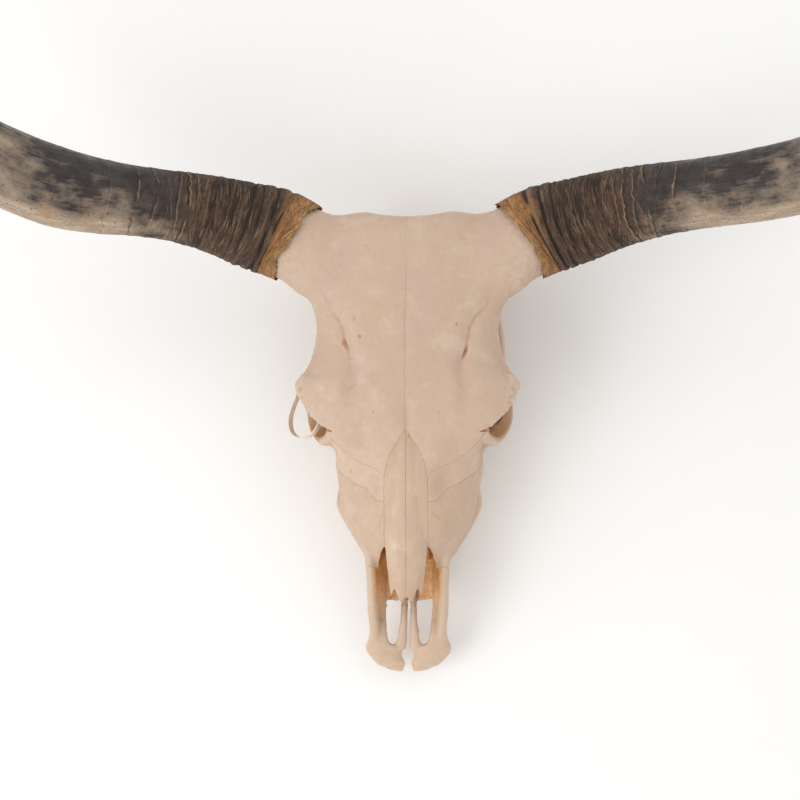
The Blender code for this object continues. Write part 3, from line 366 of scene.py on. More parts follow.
def noise(points, size, seed=0):
    """Smooth noise, about -1 to 1. Each corner of a cubic lattice has a hashed slope, which is
    dotted with the way to the point, and the quintic 6t^5 - 15t^4 + 10t^3 blends the corners."""
    place = points / size + 91.7 + 13.1 * seed
    cell = np.floor(place).astype(np.int64)
    part = place - cell
    fade = part**3 * (part * (part * 6 - 15) + 10)
    total = np.zeros(len(points))
    for corner in product((0, 1), repeat=3):
        key = (cell + corner) @ np.array((73856093, 19349663, 83492791)) + seed * 7919
        key = ((key ^ (key >> 13)) * 1274126177) & 0x7FFFFFFF
        key = ((key ^ (key >> 15)) * 1103515245) & 0x7FFFFFFF
        slope = ((key[:, None] >> np.array((0, 10, 20))) & 1023) / 511.5 - 1.0
        weight = np.where(corner, fade, 1 - fade).prod(axis=1)
        total += weight * (slope * (part - corner)).sum(axis=1)
    return total * 1.7


def smooth_rows(rows, count, columns=3):
    """A table drawn out to count rows on a cubic Hermite curve through them. The spacing follows
    the distance between rows in their first columns."""
    rows = np.asarray(rows, float)
    steps = np.linalg.norm(np.diff(rows[:, :columns], axis=0), axis=1)
    knots = np.concatenate([[0.0], np.cumsum(steps)])
    slopes = np.gradient(rows, knots, axis=0)
    at = np.linspace(0.0, knots[-1], count)
    k = np.clip(np.searchsorted(knots, at, side="right") - 1, 0, len(knots) - 2)
    span = (knots[k + 1] - knots[k])[:, None]
    u = (at - knots[k])[:, None] / span
    start = (2 * u**3 - 3 * u**2 + 1) * rows[k] + (u**3 - 2 * u**2 + u) * span * slopes[k]
    end = (3 * u**2 - 2 * u**3) * rows[k + 1] + (u**3 - u**2) * span * slopes[k + 1]
    return start + end


def shell(rings, loop=False):
    """A closed skin over a grid of points, rings by around: each ring is joined to the next, and
    the two ends are closed by fans unless the rings form a loop. Its faces point outwards."""
    count, around = rings.shape[:2]
    points = rings.reshape(-1, 3)
    last = count if loop else count - 1
    i, j = np.meshgrid(np.arange(last), np.arange(around), indexing="ij")
    i, j, n, m = i.ravel(), j.ravel(), ((i + 1) % count).ravel(), ((j + 1) % around).ravel()
    quads = np.stack([i * around + j, i * around + m, n * around + m, n * around + j], axis=1)
    fans = np.zeros((0, 3), int)
    if not loop:
        j = np.arange(around)
        m = (j + 1) % around
        end = (count - 1) * around
        hub = np.full(around, len(points))
        fans = np.concatenate([np.stack([m, j, hub], 1), np.stack([end + j, end + m, hub + 1], 1)])
        points = np.vstack([points, rings[0].mean(axis=0), rings[-1].mean(axis=0)])
    corners = np.concatenate([quads[:, [0, 1, 2]], quads[:, [0, 2, 3]], fans])
    a, b, c = (points[corners[:, k]] for k in range(3))
    if (a * np.cross(b, c)).sum() < 0:
        quads, fans = quads[:, ::-1], fans[:, ::-1]
    return points, quads, fans


def stacked(shells):
    """Several skins as one, their points counted on from each other."""
    points, *skins = zip(*shells)
    base = np.cumsum([0] + [len(p) for p in points[:-1]])
    return np.vstack(points), *(np.vstack([f + b for f, b in zip(skin, base)]) for skin in skins)


def mirrored(form):
    """A skin and its reflection in the midline."""
    points, quads, fans = form
    return [form, (points * (-1, 1, 1), quads[:, ::-1], fans[:, ::-1])]


def loft(rows, along, around):
    """Superellipse sections across the midline: x = half |cos t|^(2/n), z = the same power of
    sin t between the widest level and the top or bottom, lowered towards the sides by a droop
    that grows as (|x| / half)^2.5. Rows that end early are filled up from SECTION."""
    rows = [(*row, *SECTION[len(row) - 5 :]) for row in rows]
    table = smooth_rows(rows, along, columns=1)
    y, half, top, wide, bottom, up, down, droop = (table[:, k : k + 1] for k in range(8))
    turn = turns(around)[None, :]
    rise = np.sin(turn)
    exponent = np.where(rise >= 0, 2 / up, 2 / down)
    x = half * power(np.cos(turn), exponent)
    z = wide + np.where(rise >= 0, top - wide, wide - bottom) * power(rise, exponent)
    z = z - droop * (np.abs(x) / half) ** 2.5
    return shell(np.stack([x, np.broadcast_to(y, x.shape), z], axis=2))


def frames(points):
    """Unit vectors along a path, upright to it and sideways to it."""
    ahead = unit(np.gradient(points, axis=0))
    side = np.cross(ahead, (0.0, 0.0, 1.0))
    steep = np.linalg.norm(side, axis=1) < 0.25
    side[steep] = np.cross(ahead[steep], (0.0, 1.0, 0.0))
    flips = np.sign(np.einsum("ij,ij->i", side[1:], side[:-1]))
    side[1:] *= np.cumprod(np.where(flips < 0, -1.0, 1.0))[:, None]
    side = unit(side)
    return ahead, np.cross(side, ahead), side


def tube(rows, along=36, around=28, taper=0.55, square=False, roll=0):
    """Ovals along a path, each turned by its roll: centre + high cos t (up) + wide sin t (side),
    narrowed by taper at both ends. They stand across the path or, when square, across y. Rows
    without a roll of their own take the one given."""
    table = smooth_rows([(*row, roll) if len(row) == 5 else row for row in rows], along)
    ahead, up, side = frames(table[:, :3] * (0, 1, 0) if square else table[:, :3])
    turn = turns(around)[None, :, None]
    lean = np.radians(table[:, 5])[:, None]
    one = up * np.cos(lean) + side * np.sin(lean)
    two = np.cross(ahead, one)
    size = np.where(np.isin(np.arange(along), (0, along - 1)), taper, 1.0)[:, None]
    high, wide = (table[:, k : k + 1] * size for k in (3, 4))
    rings = table[:, None, :3] + np.cos(turn) * (one * high)[:, None] \
        + np.sin(turn) * (two * wide)[:, None]
    return shell(rings)


def ellipsoid(centre, radii, turn=(0, 0, 0)):
    """A sphere of latitude and longitude stretched to three radii, then turned about x and z."""
    rise = np.linspace(-math.pi / 2, math.pi / 2, 26)[1:-1, None]
    way = turns(36)[None, :]
    rings = np.stack([np.cos(rise) * np.cos(way), np.cos(rise) * np.sin(way),
                      np.sin(rise) + 0 * way], axis=2) * radii
    about_x, _, about_z = (math.radians(angle) for angle in turn)
    spin = Matrix.Rotation(about_z, 3, "Z") @ Matrix.Rotation(about_x, 3, "X")
    return shell(rings @ np.array(spin).T + centre)


def linked(name, data):
    """A new object in the scene."""
    obj = bpy.data.objects.new(name, data)
    bpy.context.scene.collection.objects.link(obj)
    return obj


def put_mesh(name, form):
    """A new object from a skin in millimetres."""
    points, quads, fans = form
    mesh = bpy.data.meshes.new(name)
    mesh.from_pydata((points * 0.001).tolist(), [], quads.tolist() + fans.tolist())
    return linked(name, mesh)


def read(data, field, width=3):
    """A vector of every vertex, or the two ends of every edge, as rows."""
    out = np.empty(len(data) * width, np.int32 if field == "vertices" else np.float32)
    data.foreach_get(field, out)
    return out.reshape(-1, width)


def move(mesh, points):
    """Puts a mesh's vertices at points in millimetres."""
    mesh.vertices.foreach_set("co", (points * 0.001).astype(np.float32).ravel())


def write_mask(mesh, name, values):
    """Keeps one number a vertex as a named attribute for the materials."""
    kept = mesh.attributes.get(name) or mesh.attributes.new(name, "FLOAT", "POINT")
    kept.data.foreach_set("value", np.asarray(values, np.float32))


def applied(obj):
    """Replaces an object's mesh by the result of its modifiers."""
    bpy.context.view_layer.update()
    graph = bpy.context.evaluated_depsgraph_get()
    mesh = bpy.data.meshes.new_from_object(obj.evaluated_get(graph))
    obj.modifiers.clear()
    old, obj.data = obj.data, mesh
    bpy.data.meshes.remove(old)
    if not mesh.polygons:
        raise RuntimeError(obj.name + ": nothing is left of this piece")
    return obj


def boolean(obj, cutter, operation, keep_cutter=False):
    """Cuts, joins or intersects two closed bodies."""
    modifier = obj.modifiers.new(operation.title(), "BOOLEAN")
    modifier.operation, modifier.object, modifier.solver = operation, cutter, "MANIFOLD"
    applied(obj)
    if not keep_cutter:
        bpy.data.objects.remove(cutter)
    return obj


def joined(obj, form):
    """Adds a skin's faces to an object's mesh."""
    other = put_mesh("added", form)
    bm = bmesh.new()
    bm.from_mesh(obj.data)
    bm.from_mesh(other.data)
    bm.to_mesh(obj.data)
    bm.free()
    bpy.data.objects.remove(other)
    return obj


def creases(points):
    """Where the horn necks and the face leave the forehead, and where the face runs out into the
    bars of the nose: 1 at the necks, less at the others, and less away from each crease."""
    x, y, z = points.T
    x = np.abs(x)
    neck = window(x, 44, 70, 114, 128) * step(y, -140, -118) * step(z, -85, -65)
    brow = 0.5 * window(-y, 222, 242, 276, 298) * step(z, -46, -28) * (1 - step(x, 68, 86))
    bars = 0.1 * window(-y, 360, 374, 396, 412)
    return np.maximum.reduce([neck, brow, bars])


def bar_feet(points):
    """Where the bars of the nose run out on the incisive bodies, and less at the nose's end."""
    x, y, z = points.T
    feet = window(-y, 458, 476, 496, 508) * step(np.abs(x), 20, 30)
    return np.maximum(feet * step(z, -92, -84), 0.3 * step(-y, 498, 510))


def eased(obj, weigh, reach, grain):
    """Rounds off creases. A vertex moves half way to its neighbours' mean, as often as it takes
    to round by about the reach, and less where its weight is less."""
    weights = np.round(10 * weigh(read(obj.data.vertices, "co") * 1000)).astype(int)
    group = obj.vertex_groups.new(name="Ease")
    for level in range(1, 11):
        group.add(np.flatnonzero(weights == level).tolist(), level / 10, "REPLACE")
    ease = obj.modifiers.new("Ease", "SMOOTH")
    ease.factor, ease.vertex_group = 0.5, "Ease"
    ease.iterations = int(4.4 * (reach / 1000 / grain) ** 2)
    applied(obj)
    obj.vertex_groups.clear()
    return obj


def swayed(points):
    """Bends the face, and the nose a little further, to the animal's right: x loses a smooth
    step of y and then a straight ramp of it. The poll's edge is bowed along y, by a bell that
    dips at the midline and a lower one on either side."""
    shift = FACE_SWAY * step(-points[:, 1], 190, 250)
    shift += NOSE_SWAY * np.clip((-points[:, 1] - 440) / 60, 0, 1)
    poll = np.clip((42 + points[:, 1]) / 40, 0, 1) ** 2
    bow = POLL_SWELL * bell(np.abs(points[:, 0]) - 54, 18) - POLL_DIP * bell(points[:, 0], 30)
    return points - shift[:, None] * (1, 0, 0) + (poll * bow)[:, None] * (0, 1, 0)


def merged(obj, grain):
    """Overlapping closed bodies merged into one skin of even grain."""
    remesh = obj.modifiers.new("Merge", "REMESH")
    remesh.mode, remesh.voxel_size, remesh.use_smooth_shade = "VOXEL", grain, True
    return applied(obj)


def main_body(obj):
    """Keeps the largest connected body. Each vertex takes its neighbours' least label, over and
    over, until every body carries one label."""
    mesh = obj.data
    ends = read(mesh.edges, "vertices", 2)
    label = np.arange(len(mesh.vertices))
    while True:
        least = label.copy()
        np.minimum.at(least, ends[:, 0], label[ends[:, 1]])
        np.minimum.at(least, ends[:, 1], label[ends[:, 0]])
        least = least[least]
        if (least == label).all():
            break
        label = least
    crumbs = np.flatnonzero(label != np.bincount(label).argmax())
    if len(crumbs):
        bm = bmesh.new()
        bm.from_mesh(mesh)
        bm.verts.ensure_lookup_table()
        bmesh.ops.delete(bm, geom=[bm.verts[k] for k in crumbs], context="VERTS")
        bm.to_mesh(mesh)
        bm.free()
    return obj


def line_distance(points, path):
    """Least distance of each point from a broken line, and the corner number it lies at."""
    path = np.asarray(path, float)
    best, place = np.full(len(points), 1e9), np.zeros(len(points))
    for k, (a, b) in enumerate(zip(path, path[1:])):
        way = b - a
        t = np.clip((points - a) @ way / (way @ way), 0, 1)
        away = np.linalg.norm(points - a - t[:, None] * way, axis=1)
        nearer = away < best
        best[nearer], place[nearer] = away[nearer], k + t[nearer]
    return best, place


def spread(values, ends, count, rounds):
    """Each of count vertices takes the mean of its neighbours and itself, round after round."""
    shared = np.bincount(ends.ravel(), minlength=count)[:, None] + 1.0
    values = values.reshape(count, -1)
    for _ in range(rounds):
        total = values.copy()
        for k in range(values.shape[1]):
            for a, b in ((0, 1), (1, 0)):
                total[:, k] += np.bincount(ends[:, a], values[ends[:, b], k], count)
        values = total / shared
    return values


def loft_reading(points, rows):
    """How far out a point lies in a loft's section: under 1 inside it, over 1 outside."""
    table = np.asarray(rows, float)[::-1]
    half, top, wide, bottom = (np.interp(points[:, 1], table[:, 0], table[:, k])
                               for k in (1, 2, 3, 4))
    rise = points[:, 2] - wide
    tall = np.where(rise >= 0, top - wide, wide - bottom)
    return (np.abs(points[:, 0] / half) ** 2.4 + np.abs(rise / tall) ** 2.4) ** (1 / 2.4)


def tube_reading(points, rows):
    """The same for a tube on either side: distance from its path over its radius."""
    table = np.asarray(rows, float)
    away, place = line_distance(folded(points), table[:, :3])
    return away / np.interp(place, np.arange(len(table)), table[:, 3:5].mean(axis=1))


def skull_forms():
    """The soft forms that make the bulk of the skull."""
    sides = [
        tube(HORN_CORE, 40, 48, taper=1.0), tube(HYOID_PROCESS, 16, roll=90),
        tube(EAR_TUBE, 16), tube(PARACONDYLAR, roll=90), tube(CHEEK_ARCH, 48),
        tube(POSTORBITAL_BAR, roll=90), tube(ORBIT_RIM, 48), tube(FACIAL_CREST, 48),
        tube(TOOTH_RIDGE, 48), tube(PTERYGOID), tube(INCISIVE_RIM, 48), tube(INCISIVE_WALL, 40),
        ellipsoid((31, -2, -154), (19, 17, 26), (20, 0, -25)),
        ellipsoid((16, -74, -167), (11, 15, 9), (-8, 0, 14)),
        ellipsoid((49, -70, -144), (14, 22, 22), (-8, 0, 12)),
        ellipsoid((84, -92, -107), (24, 15, 8), (0, 0, 10)),
        ellipsoid((73, -252, -46), (14, 14, 26)), ellipsoid((97, -234, -100), (13, 12, 7)),
    ]
    middle = [loft(FRONTAL_SHIELD, 110, 110), loft(BRAINCASE, 60, 64), loft(NUCHAL_PLATE, 60, 64),
              loft(SKULL_BASE, 60, 48), loft(FACE, 80, 80)]
    return stacked(middle + [form for one in sides for form in mirrored(one)])


def thin_forms():
    """The thin bones at the nose, which the openings leave whole."""
    sides = [tube(INCISIVE_BODY, 44, 48, square=True), tube(PALATINE_ROD), tube(UPPER_SCROLL, 24),
             tube(LOWER_SCROLL, 24)]
    middle = [loft(PALATE_FRONT, 30, 48), loft(NASAL_ROOF, 70, 60)]
    return stacked(middle + [form for one in sides for form in mirrored(one)])


def openings():
    """The hollows of the nose, the choanae, the eyes, the ears and the spine."""
    sides = [tube(EYE_SOCKET, 30, 48, taper=1.0), tube(EAR_HOLE, 12, 24, taper=1.0)]
    middle = [loft(NOSE_CAVITY, 60, 64), loft(NOSE_OPENING, 60, 64), loft(CHOANA, 50, 48),
              tube(SPINAL_HOLE, 24, 40, taper=1.0)]
    return middle + [form for one in sides for form in mirrored(one)]


def relief(points, normals):
    """Height of the bone's skin over the soft forms, in millimetres, and the masks that go with
    it. It adds swells and fine grain from noise, furrows as bells across a line, pits as bells
    about a point, and coarse bone at the horn necks, the nape and the eye rims."""
    plan, outward = points[:, :2], np.abs(points[:, 0])
    front, under = -points[:, 1], -points[:, 2]
    facing = step(normals[:, 2], 0.15, 0.5) * step(points[:, 2], -46, -30)
    rise = 0.55 * noise(points, 48, 1) + 0.34 * noise(points, 17, 2)
    rise += 0.13 * noise(points, 6.5, 3) + 0.07 * noise(points, 3.1, 4)

    neck = step(outward, 98, 118) * step(points[:, 1], -118, -84)
    nape = step(points[:, 1], -26, -6) * step(under, 34, 56)
    base = step(under, 118, 140)
    rim = 1 - step(line_distance(folded(points), RAGGED_RIM)[0], 3, 9)
    rough = np.clip(neck + 0.8 * nape + 0.5 * base + 0.7 * rim, 0, 1)
    rise += neck * (0.35 * noise(points, 5.2, 5) + 0.25 * noise(points, 2.8, 6))
    rise += nape * (1.1 * noise(points * (1, 1, 0.4), 13, 7) + 0.5 * noise(points, 5, 8))
    rise += base * 0.45 * noise(points, 7, 9)
    rise += rim * (1.7 * noise(points, 5.5, 10) + 0.9 * noise(points, 2.9, 11) - 0.4)
    tip = step(front, 500, 514)
    rise -= tip * (0.2 + 0.9 * step(front, 514, 517) * (1 - step(outward, 14, 24)))
    rise -= 1.4 * step(outward, 11, 22) * step(front, 516.5, 520)

    palate = window(front, 430, 438, 446, 450)
    palate *= (1 - step(outward, 26, 31)) * step(under, 82, 85)
    rise += palate * (2.2 * noise(points, 8, 16) + 0.9 * noise(points, 3.2, 17) - 0.6)

    streaks = noise(points * (1, 0.08, 1), 3.4, 12)
    nasal = step(front, 250, 290) * (1 - step(outward, 20, 26)) * facing
    rise += nasal * 0.16 * streaks

    line = np.zeros(len(points))
    for path in BROW_GROOVES:
        away, place = line_distance(plan, path)
        trench, furrow = (np.interp(place, np.arange(len(path)), depths) * facing
                          for depths in (TRENCH_DEPTH, FURROW_DEPTH))
        furrow *= 1 + 0.5 * noise(points, 7, 15)
        rise -= trench * bell(away, 7.5) + furrow * bell(away, 1.6)
        line = np.maximum(line, 0.2 * bell(away, 1.1) * np.clip(furrow, 0, 1))
    for path in HAIRLINES:
        away = line_distance(plan + 0.9 * noise(points, 5, 13)[:, None], path)[0]
        mark = bell(away, 0.8) * facing
        rise -= 0.35 * mark
        line = np.maximum(line, 0.35 * mark)
    hole = np.zeros(len(points))
    for x, y, wide, long, depth, lean in HOLES:
        down = plan[:, 1] - y
        away = plan[:, 0] - x - lean * down
        near = np.exp(-(((away / wide) ** 2 + (down / long) ** 2) ** 1.5))
        rise -= depth * near * facing
        hole = np.maximum(hole, near * facing * min(1.0, depth / 2.4))
    slit = line_distance(folded(points)[:, :2], (ORBIT_SLIT[0], (94, -240)))[0]
    hole = np.maximum(hole, 0.55 * bell(slit, 1.7) * step(under, 60, 40))
    # Each dent also gets painted shade, darker as the dent is deeper
    dusk = np.zeros(len(points))
    for x, y, wide, long, depth in DENTS:
        near = np.exp(-(((plan[:, 0] - x) / wide) ** 2) - ((plan[:, 1] - y) / long) ** 2)
        rise -= depth * facing * near
        dusk = np.maximum(dusk, near * facing * depth / 4)

    nose = 1 - step(loft_reading(points, NOSE_CAVITY), 0.98, 1.16)
    inward = step(-np.sign(points[:, 0]) * normals[:, 0], 0.1, 0.7) * step(front, 366, 380)
    inward *= (1 - step(outward, 38, 42)) * step(under, 30, 48) * step(outward, 17, 20)
    nose = np.maximum(nose, inward)
    nose *= step(front, 290, 330) * (1 - 0.9 * step(front, 405, 488))
    rod = 1 - step(tube_reading(points, PALATINE_ROD), 1.1, 1.5)
    nose *= 1 - rod
    above = window(front, 366, 380, 441, 447)
    above *= (1 - step(outward, 25, 33)) * step(under, 76, 83) * step(normals[:, 2], 0.2, 0.6)
    nose = np.maximum(nose, 0.8 * above * (1 - rod))
    # Painted shadow: the rods are darkened only where they lie under the tips of the nose
    rod *= 1 - step(front, 430, 474)
    rod *= 0.75 + 0.5 * noise(points, 2.6, 19)
    scrolls = np.minimum(tube_reading(points, UPPER_SCROLL), tube_reading(points, LOWER_SCROLL))
    rise += (1 - step(scrolls, 1.0, 1.5)) * 0.9 * noise(points, 3.6, 14)
    socket = 1 - step(tube_reading(points, EYE_SOCKET), 0.95, 1.25)
    choana = 1 - step(loft_reading(points, CHOANA), 0.95, 1.2)
    choana *= window(front, 180, 200, 285, 300)
    spine = 1 - step(np.linalg.norm(points[:, [0, 2]] - (0, -147), axis=1), 15, 21)
    spine *= step(points[:, 1], -70, -50) * step(-normals[:, 1] + 0.6, 0, 0.3)
    deep = np.clip(np.maximum.reduce([nose, 0.85 * socket, 0.9 * choana, 0.9 * spine]), 0, 1)
    warmth = step(front, 170, 300) * 0.7 + step(under, 50, 130) * 0.5
    return rise, {
        "rough": rough, "line": line, "hole": hole, "deep": deep,
        "nose": nose, "warmth": np.clip(warmth, 0, 1), "skin": np.ones(len(points)),
        # The broad dents' mask and the rods' mask carry painted shade and painted shadow
        "dusk": np.clip(dusk, 0, 1), "bar": np.clip(rod, 0, 1),
    }


def whole_bone(sizes):
    """The skull in one piece, with its relief and its masks."""
    coarse = sizes.grain * 1.25
    bone = eased(merged(put_mesh("bone", skull_forms()), coarse), creases, 14, coarse)
    for form in openings():
        boolean(bone, put_mesh("opening", form), "DIFFERENCE")
    merged(joined(bone, thin_forms()), sizes.grain)
    for form in mirrored(ellipsoid((18.2, -479.5, -88), (6.5, 12.5, 30))):
        boolean(bone, put_mesh("slot", form), "DIFFERENCE")
    for side in (1, -1):
        slit = [(side * x, y) for x, y in ORBIT_SLIT]
        boolean(bone, prism(slit, (-28, 20), "xyz"), "DIFFERENCE")
    boolean(bone, prism(NOSE_NOTCH, (-130, -60), "xyz"), "DIFFERENCE")
    eased(bone, bar_feet, 4.5, sizes.grain)
    soften = bone.modifiers.new("Soften", "SMOOTH")
    soften.factor, soften.iterations = 0.5, 6
    applied(bone)
    mesh = bone.data
    points = read(mesh.vertices, "co").astype(float) * 1000
    normals = read(mesh.vertex_normals, "vector").astype(float)
    ends = read(mesh.edges, "vertices", 2)
    rise, masks = relief(points, normals)
    points += normals * (rise * sizes.relief)[:, None]
    move(mesh, points)
    mesh.update()
    normals = read(mesh.vertex_normals, "vector").astype(float)
    # How hollow or swelling the skin is: the material darkens hollows with painted shade and
    # lightens swells with a painted highlight
    wide = spread(points, ends, len(points), rounds=14)
    hollow = np.einsum("ij,ij->i", wide - points, normals)
    masks["hollow"] = np.clip(spread(hollow, ends, len(points), rounds=1)[:, 0] / 0.55, -1, 1)
    for name, values in masks.items():
        write_mask(mesh, name, values)
    return bone


def widened(outline, gap):
    """An outline with each of its sides moved out by a gap."""
    points = np.array(outline, float)
    ahead = unit(np.roll(points, -1, axis=0) - points)
    area = np.cross(points, np.roll(points, -1, axis=0)).sum()
    out = np.stack([ahead[:, 1], -ahead[:, 0]], axis=1) * math.copysign(1.0, area)
    both = out + np.roll(out, 1, axis=0)
    return points + gap * 2 * both / (both**2).sum(axis=1)[:, None]


def wandering(outline, waver, seed):
    """An outline whose sides stray from straight by noise, and not at their corners."""
    outline = np.asarray(outline, float)
    parts = []
    for a, b in zip(outline, np.roll(outline, -1, axis=0)):
        length = np.linalg.norm(b - a)
        count = max(1, int(length // 1.8))
        share = np.arange(count) / count
        side = np.array((b[1] - a[1], a[0] - b[0])) / length
        line = a + share[:, None] * (b - a)
        place = np.column_stack([line, np.zeros(len(line))])
        stray = noise(place, 5.5, seed) + 0.5 * noise(place, 14, seed + 1)
        stray *= waver * np.clip(np.minimum(share, 1 - share) * length / 4, 0, 1)
        parts.append(line + stray[:, None] * side)
    return np.vstack(parts)


def prism(outline, span, plane, gap=0.0):
    """A closed prism over an outline, made larger by a gap all round. plane names the outline's
    two axes and then the span's."""
    order = ["xyz".index(axis) for axis in plane]
    outline = widened(outline, gap)
    count = len(outline)
    points = np.zeros((2 * count, 3))
    for end, level in enumerate((span[0] - gap, span[1] + gap)):
        points[end * count : (end + 1) * count, order[:2]] = outline
        points[end * count : (end + 1) * count, order[2]] = level
    k = np.arange(count)
    n = (k + 1) % count
    sides = np.stack([k, n, n + count, k + count], axis=1)
    mesh = bpy.data.meshes.new("region")
    mesh.from_pydata((points * 0.001).tolist(), [],
                     sides.tolist() + [k.tolist(), (k + count).tolist()])
    bm = bmesh.new()
    bm.from_mesh(mesh)
    bmesh.ops.recalc_face_normals(bm, faces=bm.faces)
    if bm.calc_volume(signed=True) < 0:
        bmesh.ops.reverse_faces(bm, faces=bm.faces)
    bm.to_mesh(mesh)
    bm.free()
    return linked("region", mesh)


def both_sides(outline):
    """An outline that meets the midline at both ends, carried on over the other side."""
    inner = outline[1:-1]
    return inner + tuple((-a, b) for a, b in reversed(inner))


def region(prisms, waver, seed, gap=0.0):
    """A bone's region on both sides. An outline that meets the midline goes across it."""
    made = []
    for outline, span, plane in prisms:
        if "x" not in plane[:2]:
            parts = [(outline, seed)]
        elif outline[0][0] == outline[-1][0] == 0:
            parts = [(both_sides(outline), seed)]
        else:
            parts = [([(a * side, b) for a, b in outline], seed + side) for side in (1, -1)]
        made += [prism(wandering(part, waver, number), span, plane, gap)
                 for part, number in parts]
    for other in made[1:]:
        boolean(made[0], other, "UNION")
    return made[0]


def half(side, gap, waver):
    """Everything to one side of the midline, which strays a little from straight. The clearance
    closes at the poll."""
    y = np.arange(-700.0, 400.0, 1.5)
    place = np.column_stack([np.zeros(len(y)), y, np.zeros(len(y))])
    x = waver * (noise(place, 6, 40) + 0.7 * noise(place, 19, 41)) * step(y, -440, -420)
    x -= 1.4 * step(-y, 60, 120) * (1 - step(-y, 200, 244))
    gap = gap * (0.2 + 0.8 * step(-y, 40, 70))
    edge = np.column_stack([x + side * gap / 2, y])
    return prism(np.vstack([edge, [(side * 400, 400), (side * 400, -700)]]), (-400, 400), "xyz")


def copy_of(obj, name):
    """A second object with a mesh of its own."""
    return linked(name, obj.data.copy())


def part_bones(bone, sizes):
    """Parts the bone along its sutures. Each region takes its bone out of what is left."""
    gap, waver = sizes.suture_gap * 1000, sizes.suture_wander * 1000
    # Each with the share of the wander and of the gap that its edges take
    regions = {
        "nasal": ([(NASAL_PLAN, (-30, 30), "xyz")], 0.35, 0.3),
        "incisive": ([(INCISIVE_SIDE, (-80, 80), "yzx")], 0.8, 0.3),
        "lacrimal": ([(LACRIMAL_PLAN, (-70, 30), "xyz")], 1.0, 0.4),
        "frontal": ([(FRONTAL_SIDE, (-160, 160), "yzx"), (FRONTAL_NOSE, (-38, 60), "xyz"),
                     (FRONTAL_FRONT, (-106, 60), "xzy")], 1.0, 0.5),
        "zygomatic": ([(ZYGOMATIC_PLAN, (-125, -64.5), "xyz")], 0.9, 0.4),
        "maxilla": ([(MAXILLA_PLAN, (-200, 40), "xyz")], 0.8, 0.5),
        "temporal": ([(TEMPORAL_PLAN, (-210, -40), "xyz")], 1.0, 0.8),
        "occipital": ([(OCCIPITAL_PLAN, (-220, 40), "xyz")], 1.0, 0.8),
    }
    boolean(bone, prism(both_sides(ROD_SLIT_PLAN), (-120, -60), "xyz"), "DIFFERENCE")
    halves = {label: half(side, 0.45 * gap, 0.6 * waver)
              for label, side in (("_left", 1), ("_right", -1))}
    bones = []
    for seed, (name, (prisms, stray, clear)) in enumerate(regions.items()):
        pair = copy_of(bone, "fine_" + name)
        boolean(pair, region(prisms, waver * stray, 50 + 3 * seed), "INTERSECT")
        boolean(bone, region(prisms, waver * stray, 50 + 3 * seed, gap * clear), "DIFFERENCE")
        if name == "occipital":
            bones.append(main_body(pair))
            continue
        for label, side in halves.items():
            piece = copy_of(pair, "fine_" + name + label)
            bones.append(main_body(boolean(piece, side, "INTERSECT", keep_cutter=True)))
        bpy.data.objects.remove(pair)
    for side in halves.values():
        bpy.data.objects.remove(side)
    bone.name = "fine_sphenoid_palatine"
    bones.append(main_body(bone))
    for piece in bones:
        move(piece.data, swayed(read(piece.data.vertices, "co") * 1000.0))
    return bones


def tooth(row, side):
    """A cheek tooth in two parameters, height and turn: a rounded block with upright folds on its
    cheek side and a waist on its tongue side, closed by a chewing face of crescent pits."""
    x, y, length, width, gum, chew = row
    molar = length > 20
    around, high, inward = 56, 22, 16
    turn = turns(around)
    across, along = power(np.cos(turn), 0.56), power(np.sin(turn), 0.56)
    folds = 0.10 * np.cos(2 * math.pi * along) if molar else 0.07 * np.cos(math.pi * along)
    waist = 0.20 * bell(along, 0.2) * molar
    across *= 1 + np.clip(across, 0, 1) * folds - np.clip(-across, 0, 1) * waist
    levels = np.linspace(0, 1, high)[:, None]
    size = 0.84 + 0.13 * step(levels, 0, 0.55) + 0.03 * levels
    size *= 1 - 0.05 * step(levels, 0.93, 1)
    top = gum + 10.0
    height = np.broadcast_to(top + (chew - top) * levels, (high, around))
    wall = np.stack([size * across, size * along, height], axis=2)
    share = np.linspace(0.93, 0.05, inward)[:, None]
    u, v = share * across * 0.95, share * along * 0.95
    if molar:
        bow = np.minimum(*(np.hypot(u / 0.60, (v + off) / 0.36) for off in (-0.47, 0.47)))
    else:
        bow = np.hypot(u / 0.62, v / 0.62)
    pit = bell(bow - 0.62, 0.20)
    ridge = bell(share - 0.90, 0.07) + bell(bow - 0.98, 0.13)
    cusp = step(u, 0.1, 0.8) * (0.5 + 0.5 * np.cos(2 * math.pi * v))
    face = np.stack([u, v, chew + 2.0 * pit - 0.7 * ridge - 1.1 * cusp + 0.9], axis=2)
    rings = np.concatenate([wall, face]) * (width / 2, length / 2, 1)
    lean = (rings[:, :, 2] - gum) * 0.06
    rings = np.stack([(x + rings[:, :, 0] - lean) * side, y + rings[:, :, 1], rings[:, :, 2]], 2)
    masks = {}
    for name, values in (("enamel", ridge), ("worn", np.ones(ridge.shape)), ("pit", pit)):
        values = np.clip(values, 0, 1)
        masks[name] = np.concatenate([np.zeros(high * around), values.ravel(),
                                      (0, values[-1].mean())])
    masks["crown"] = np.append(levels.repeat(around), np.ones(inward * around + 2))
    points, quads, fans = shell(rings)
    return (swayed(points), quads, fans), masks


def cylinder(along, turn, radius):
    """Points at a turn round a straight cylinder, a distance along it."""
    return np.stack([along, radius * np.cos(turn), radius * np.sin(turn)], axis=1)


